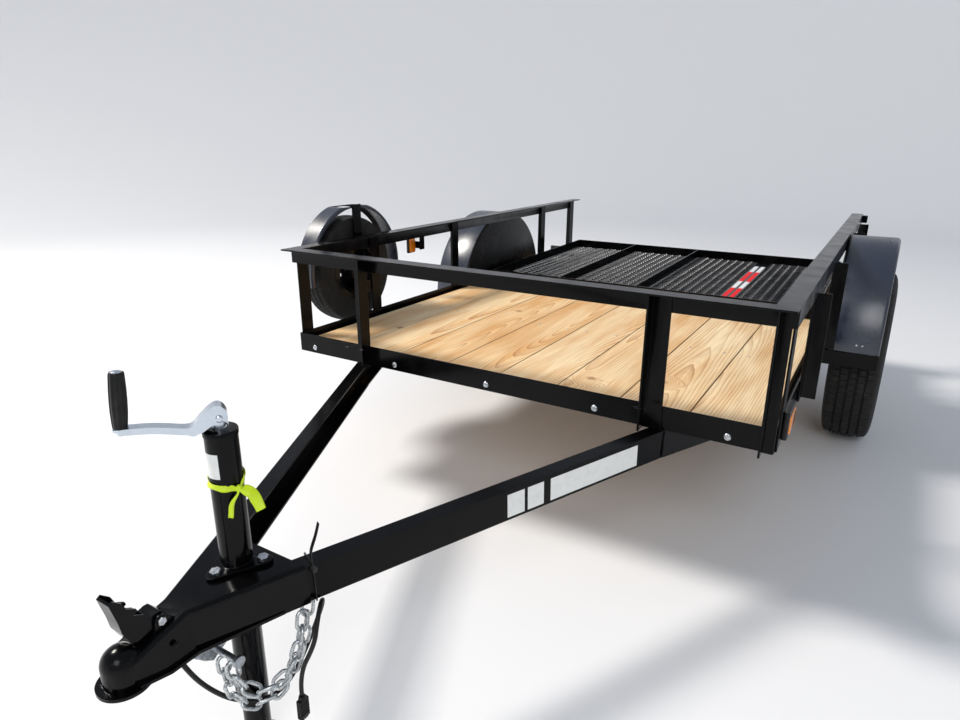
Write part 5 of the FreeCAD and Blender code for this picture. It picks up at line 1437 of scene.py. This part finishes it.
@dataclass
class RampGate:
    """Folded gate: its ring and ribs, the expanded steel on them, its hinges, latches and tape."""

    long_way: float = 0.0762
    short_way: float = 0.0338
    strand: float = 0.0074
    thick: float = 0.0024
    tilt: float = 1.38
    bond_tilt: float = 0.93
    bond_half: float = 0.0034
    bond_end: float = 0.0070
    margin: float = 0.0005
    swing: float = 0.86
    bond_swing: float = 0.76
    tape_edges: tuple = ((-0.025, -0.006), (0.006, 0.025))
    tape_x: float = 0.361
    tape_rise: float = 0.0770
    tape_film: float = 0.0006
    white_runs: tuple = ((1.965, 2.122), (1.563, 1.719))
    red_runs: tuple = ((1.720, 1.964), (1.318, 1.562))

    def build(self) -> None:
        """Steel, mesh and tape."""
        for node, body, radius in (("gate_frame", Body.GATE, 0.0012), ("gate_pins", Body.GATE, 0.0008),
                                   ("gate_hinge_tubes", Body.CHASSIS, 0.0008),
                                   ("gate_latches", Body.CHASSIS, 0.002)):
            eased(node, FRAME_ENAMEL, radius, body)
        self.mesh()
        self.tape("silver_tape", TAPE_WHITE, self.white_runs)
        self.tape("red_tape", TAPE_RED, self.red_runs)

    def mesh(self) -> None:
        """Expanded steel: rows of zigzag strands that touch their neighbours at the knuckles.

        Row k runs along X at y = k x half the short way, and swings by a quarter of the short way each half
        of the long way, with a short bond at each turn. Neighbouring rows swing against each other. A
        strand's section is a flat bar, stood up by the stretching and laid flatter at the bonds, which
        shine. The height is the plane that fits the CAD mesh: z = slope x y + foot.
        """
        cad = np.array([v.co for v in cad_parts["gate_mesh"].data.vertices])
        low, high = cad.min(0), cad.max(0)
        slope, foot = np.polyfit(cad[:, 1], cad[:, 2], 1)
        clear = high[1] - low[1] - 2 * self.strand
        rows = np.arange(int(clear / (self.short_way / 2)))
        turns = int((high[0] - low[0]) / (self.long_way / 2))
        knots = np.linspace(low[0] + self.margin, high[0] - self.margin, turns + 1)
        offsets = np.array([-self.bond_end, -self.bond_half, self.bond_half, self.bond_end])
        x = np.sort(np.concatenate([(knots[1:-1, None] + offsets).ravel(), knots[[0, -1]]]))
        gaps = np.abs(x[:, None] - knots[None])
        open_ = gaps.min(1) > (self.bond_half + self.bond_end) / 2
        sign = (-1.0) ** (gaps.argmin(1)[None] + rows[:, None])
        reach = self.short_way / 4 * self.swing * np.where(open_, self.bond_swing, 1.0)
        y = (low[1] + self.strand + (rows + 0.5) * clear / len(rows))[:, None] + sign * reach
        tilt = np.where(open_, self.tilt, self.bond_tilt)
        c, s = np.cos(tilt), np.sin(tilt)
        turn = np.stack([np.stack([c, s], -1), np.stack([-s, c], -1)], -2)
        half = np.array([(-1, -1), (1, -1), (1, 1), (-1, 1)]) * (self.strand / 2, self.thick / 2)
        section = np.einsum("pi,kij->kpj", half, turn)
        z = slope * y + foot
        points = np.stack([np.broadcast_to(x[:, None], (len(rows), len(x), 4)),
                           y[..., None] + section[..., 0], z[..., None] + section[..., 1]], -1)
        strands = [bar(row) for row in points]
        put("gate_expanded_steel", joined(*strands), MESH_ENAMEL, Body.GATE, ("gate_mesh",), crease=32)

    def tape(self, name: str, finish: Finish, runs: tuple) -> None:
        """Two strips of tape on the flat bar: thin slabs that follow the gate's slope.

        Args:
            name: Name of the piece.
            finish: The tape's finish.
            runs: Start and end station of each length of this colour.
        """
        def on_bar(station: float, across: float, out: float) -> np.ndarray:
            """Point on the bar, from its middle line."""
            return on_gate(self.tape_x + across, station, self.tape_rise + out)

        parts = [slab(on_bar, np.linspace(*run, 6), near, far, self.tape_film)
                 for run in runs for near, far in self.tape_edges]
        put(name, joined(*parts), finish, Body.GATE, crease=30)


@dataclass
class SpareWheel:
    """Small spare outside the curb-side rail, its carrier and the round guard over it."""

    bead: float = 0.104
    nut_radius: float = 0.013

    def build(self) -> None:
        """Tyre, wheel, carrier, guard, the nut that holds the wheel and the plate in the disc's hole.

        The plate's place is the mean place of the disc's points nearest the axis.
        """
        RoadTyre("spare_tyre", Body.CHASSIS, self.bead, grooves=(-0.5, 0.0, 0.5), groove_deep=0.005,
                 slot_deep=0.0025, pitches=62).build()
        for node, finish, radius in (("spare_rim", WHEEL_ENAMEL, 0.001),
                                     ("spare_guard", FENDER_ENAMEL, 0.0008),
                                     ("spare_carrier", FRAME_ENAMEL, 0.001)):
            eased(node, finish, radius)
        centre = cad_box("spare_rim")[2]
        nut = Fastener.NUT.heads([centre - (0, 0, STUD_CIRCLE)], (-1, 0, 0), self.nut_radius)
        put("spare_nut", nut, ZINC)
        points = np.array([v.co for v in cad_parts["spare_rim"].data.vertices])
        away = np.hypot(points[:, 1] - centre[1], points[:, 2] - centre[2])
        hole = np.array([points[away < away.min() + 0.002, 0].mean(), centre[1], centre[2]])
        plate = turned([(-0.004, 0.020), (-0.0035, 0.0335), (0.0, 0.0345), (0.0035, 0.0330), (0.007, 0.024),
                        (0.008, 0.010)], hole, ALONG_X, 40)
        put("spare_centre_plate", plate, WHEEL_ENAMEL)


@dataclass
class Lamps:
    """Side markers and tail lamps: black housings round coloured lenses, and their brackets.

    Each lamp is its lowest corner, its highest corner, and the rim and share that framed takes.
    """

    markers: tuple = (((0.7735, -0.509, 0.483), (0.7905, -0.404, 0.553), 0.012, 0.78),
                      ((-0.8385, 0.139, 0.700), (-0.8185, 0.183, 0.762), 0.004, 0.62))
    tails: tuple = (((0.7885, 1.661, 0.445), (0.8885, 1.701, 0.535), 0.005, 0.45),
                    ((-0.8885, 1.661, 0.445), (-0.7885, 1.701, 0.535), 0.005, 0.45))

    def framed(self, low: Spot, high: Spot, axis: int, rim: float, share: float) -> tuple[Surface, Surface]:
        """Housing with a raised rim, and the lens that stands in it.

        Args:
            low: Lowest corner of the lamp.
            high: Highest corner.
            axis: 0 where the lamp faces along +X and 1 along +Y.
            rim: Width of the housing's rim round the lens.
            share: Share of the depth that the housing takes.

        Returns:
            The housing and the lens.
        """
        low, high = np.array(low), np.array(high)
        deep = share * (high[axis] - low[axis])
        back, lens_low, lens_high = high.copy(), low + rim, high - rim
        back[axis] = low[axis] + deep
        lens_low[axis], lens_high[axis] = low[axis] + 0.6 * deep, high[axis]
        return eased_box(low, back, 0.003), eased_box(lens_low, lens_high, 0.004)

    def build(self) -> None:
        """Two markers, two tail lamps and their brackets."""
        eased("lamp_brackets", FRAME_ENAMEL, 0.001)
        marks = [self.framed(low, high, 0, rim, share) for low, high, rim, share in self.markers]
        tails = [self.framed(low, high, 1, rim, share) for low, high, rim, share in self.tails]
        put("lamp_housings", joined(*[housing for housing, _ in marks + tails]), HOUSING)
        put("amber_lenses", joined(*[lens for _, lens in marks]), AMBER, replaced=("marker_lamps",))
        put("red_lenses", joined(*[lens for _, lens in tails]), RED, replaced=("tail_lamps",))


def main() -> None:
    """Builds the camera and the cable first, then every sub-assembly."""
    logging.basicConfig(level=logging.INFO, format="%(name)s %(message)s")
    for part in (PhotoCamera(), HarnessCable(), Studio(), BedAndRails(), Deck(), Tongue(), Jack(),
                 SafetyChains(), RunningGear(), Fenders(), RampGate(), SpareWheel(), Lamps()):
        part.build()
        LOG.info("%s done", type(part).__name__)


if __name__ == "__main__":
    main()
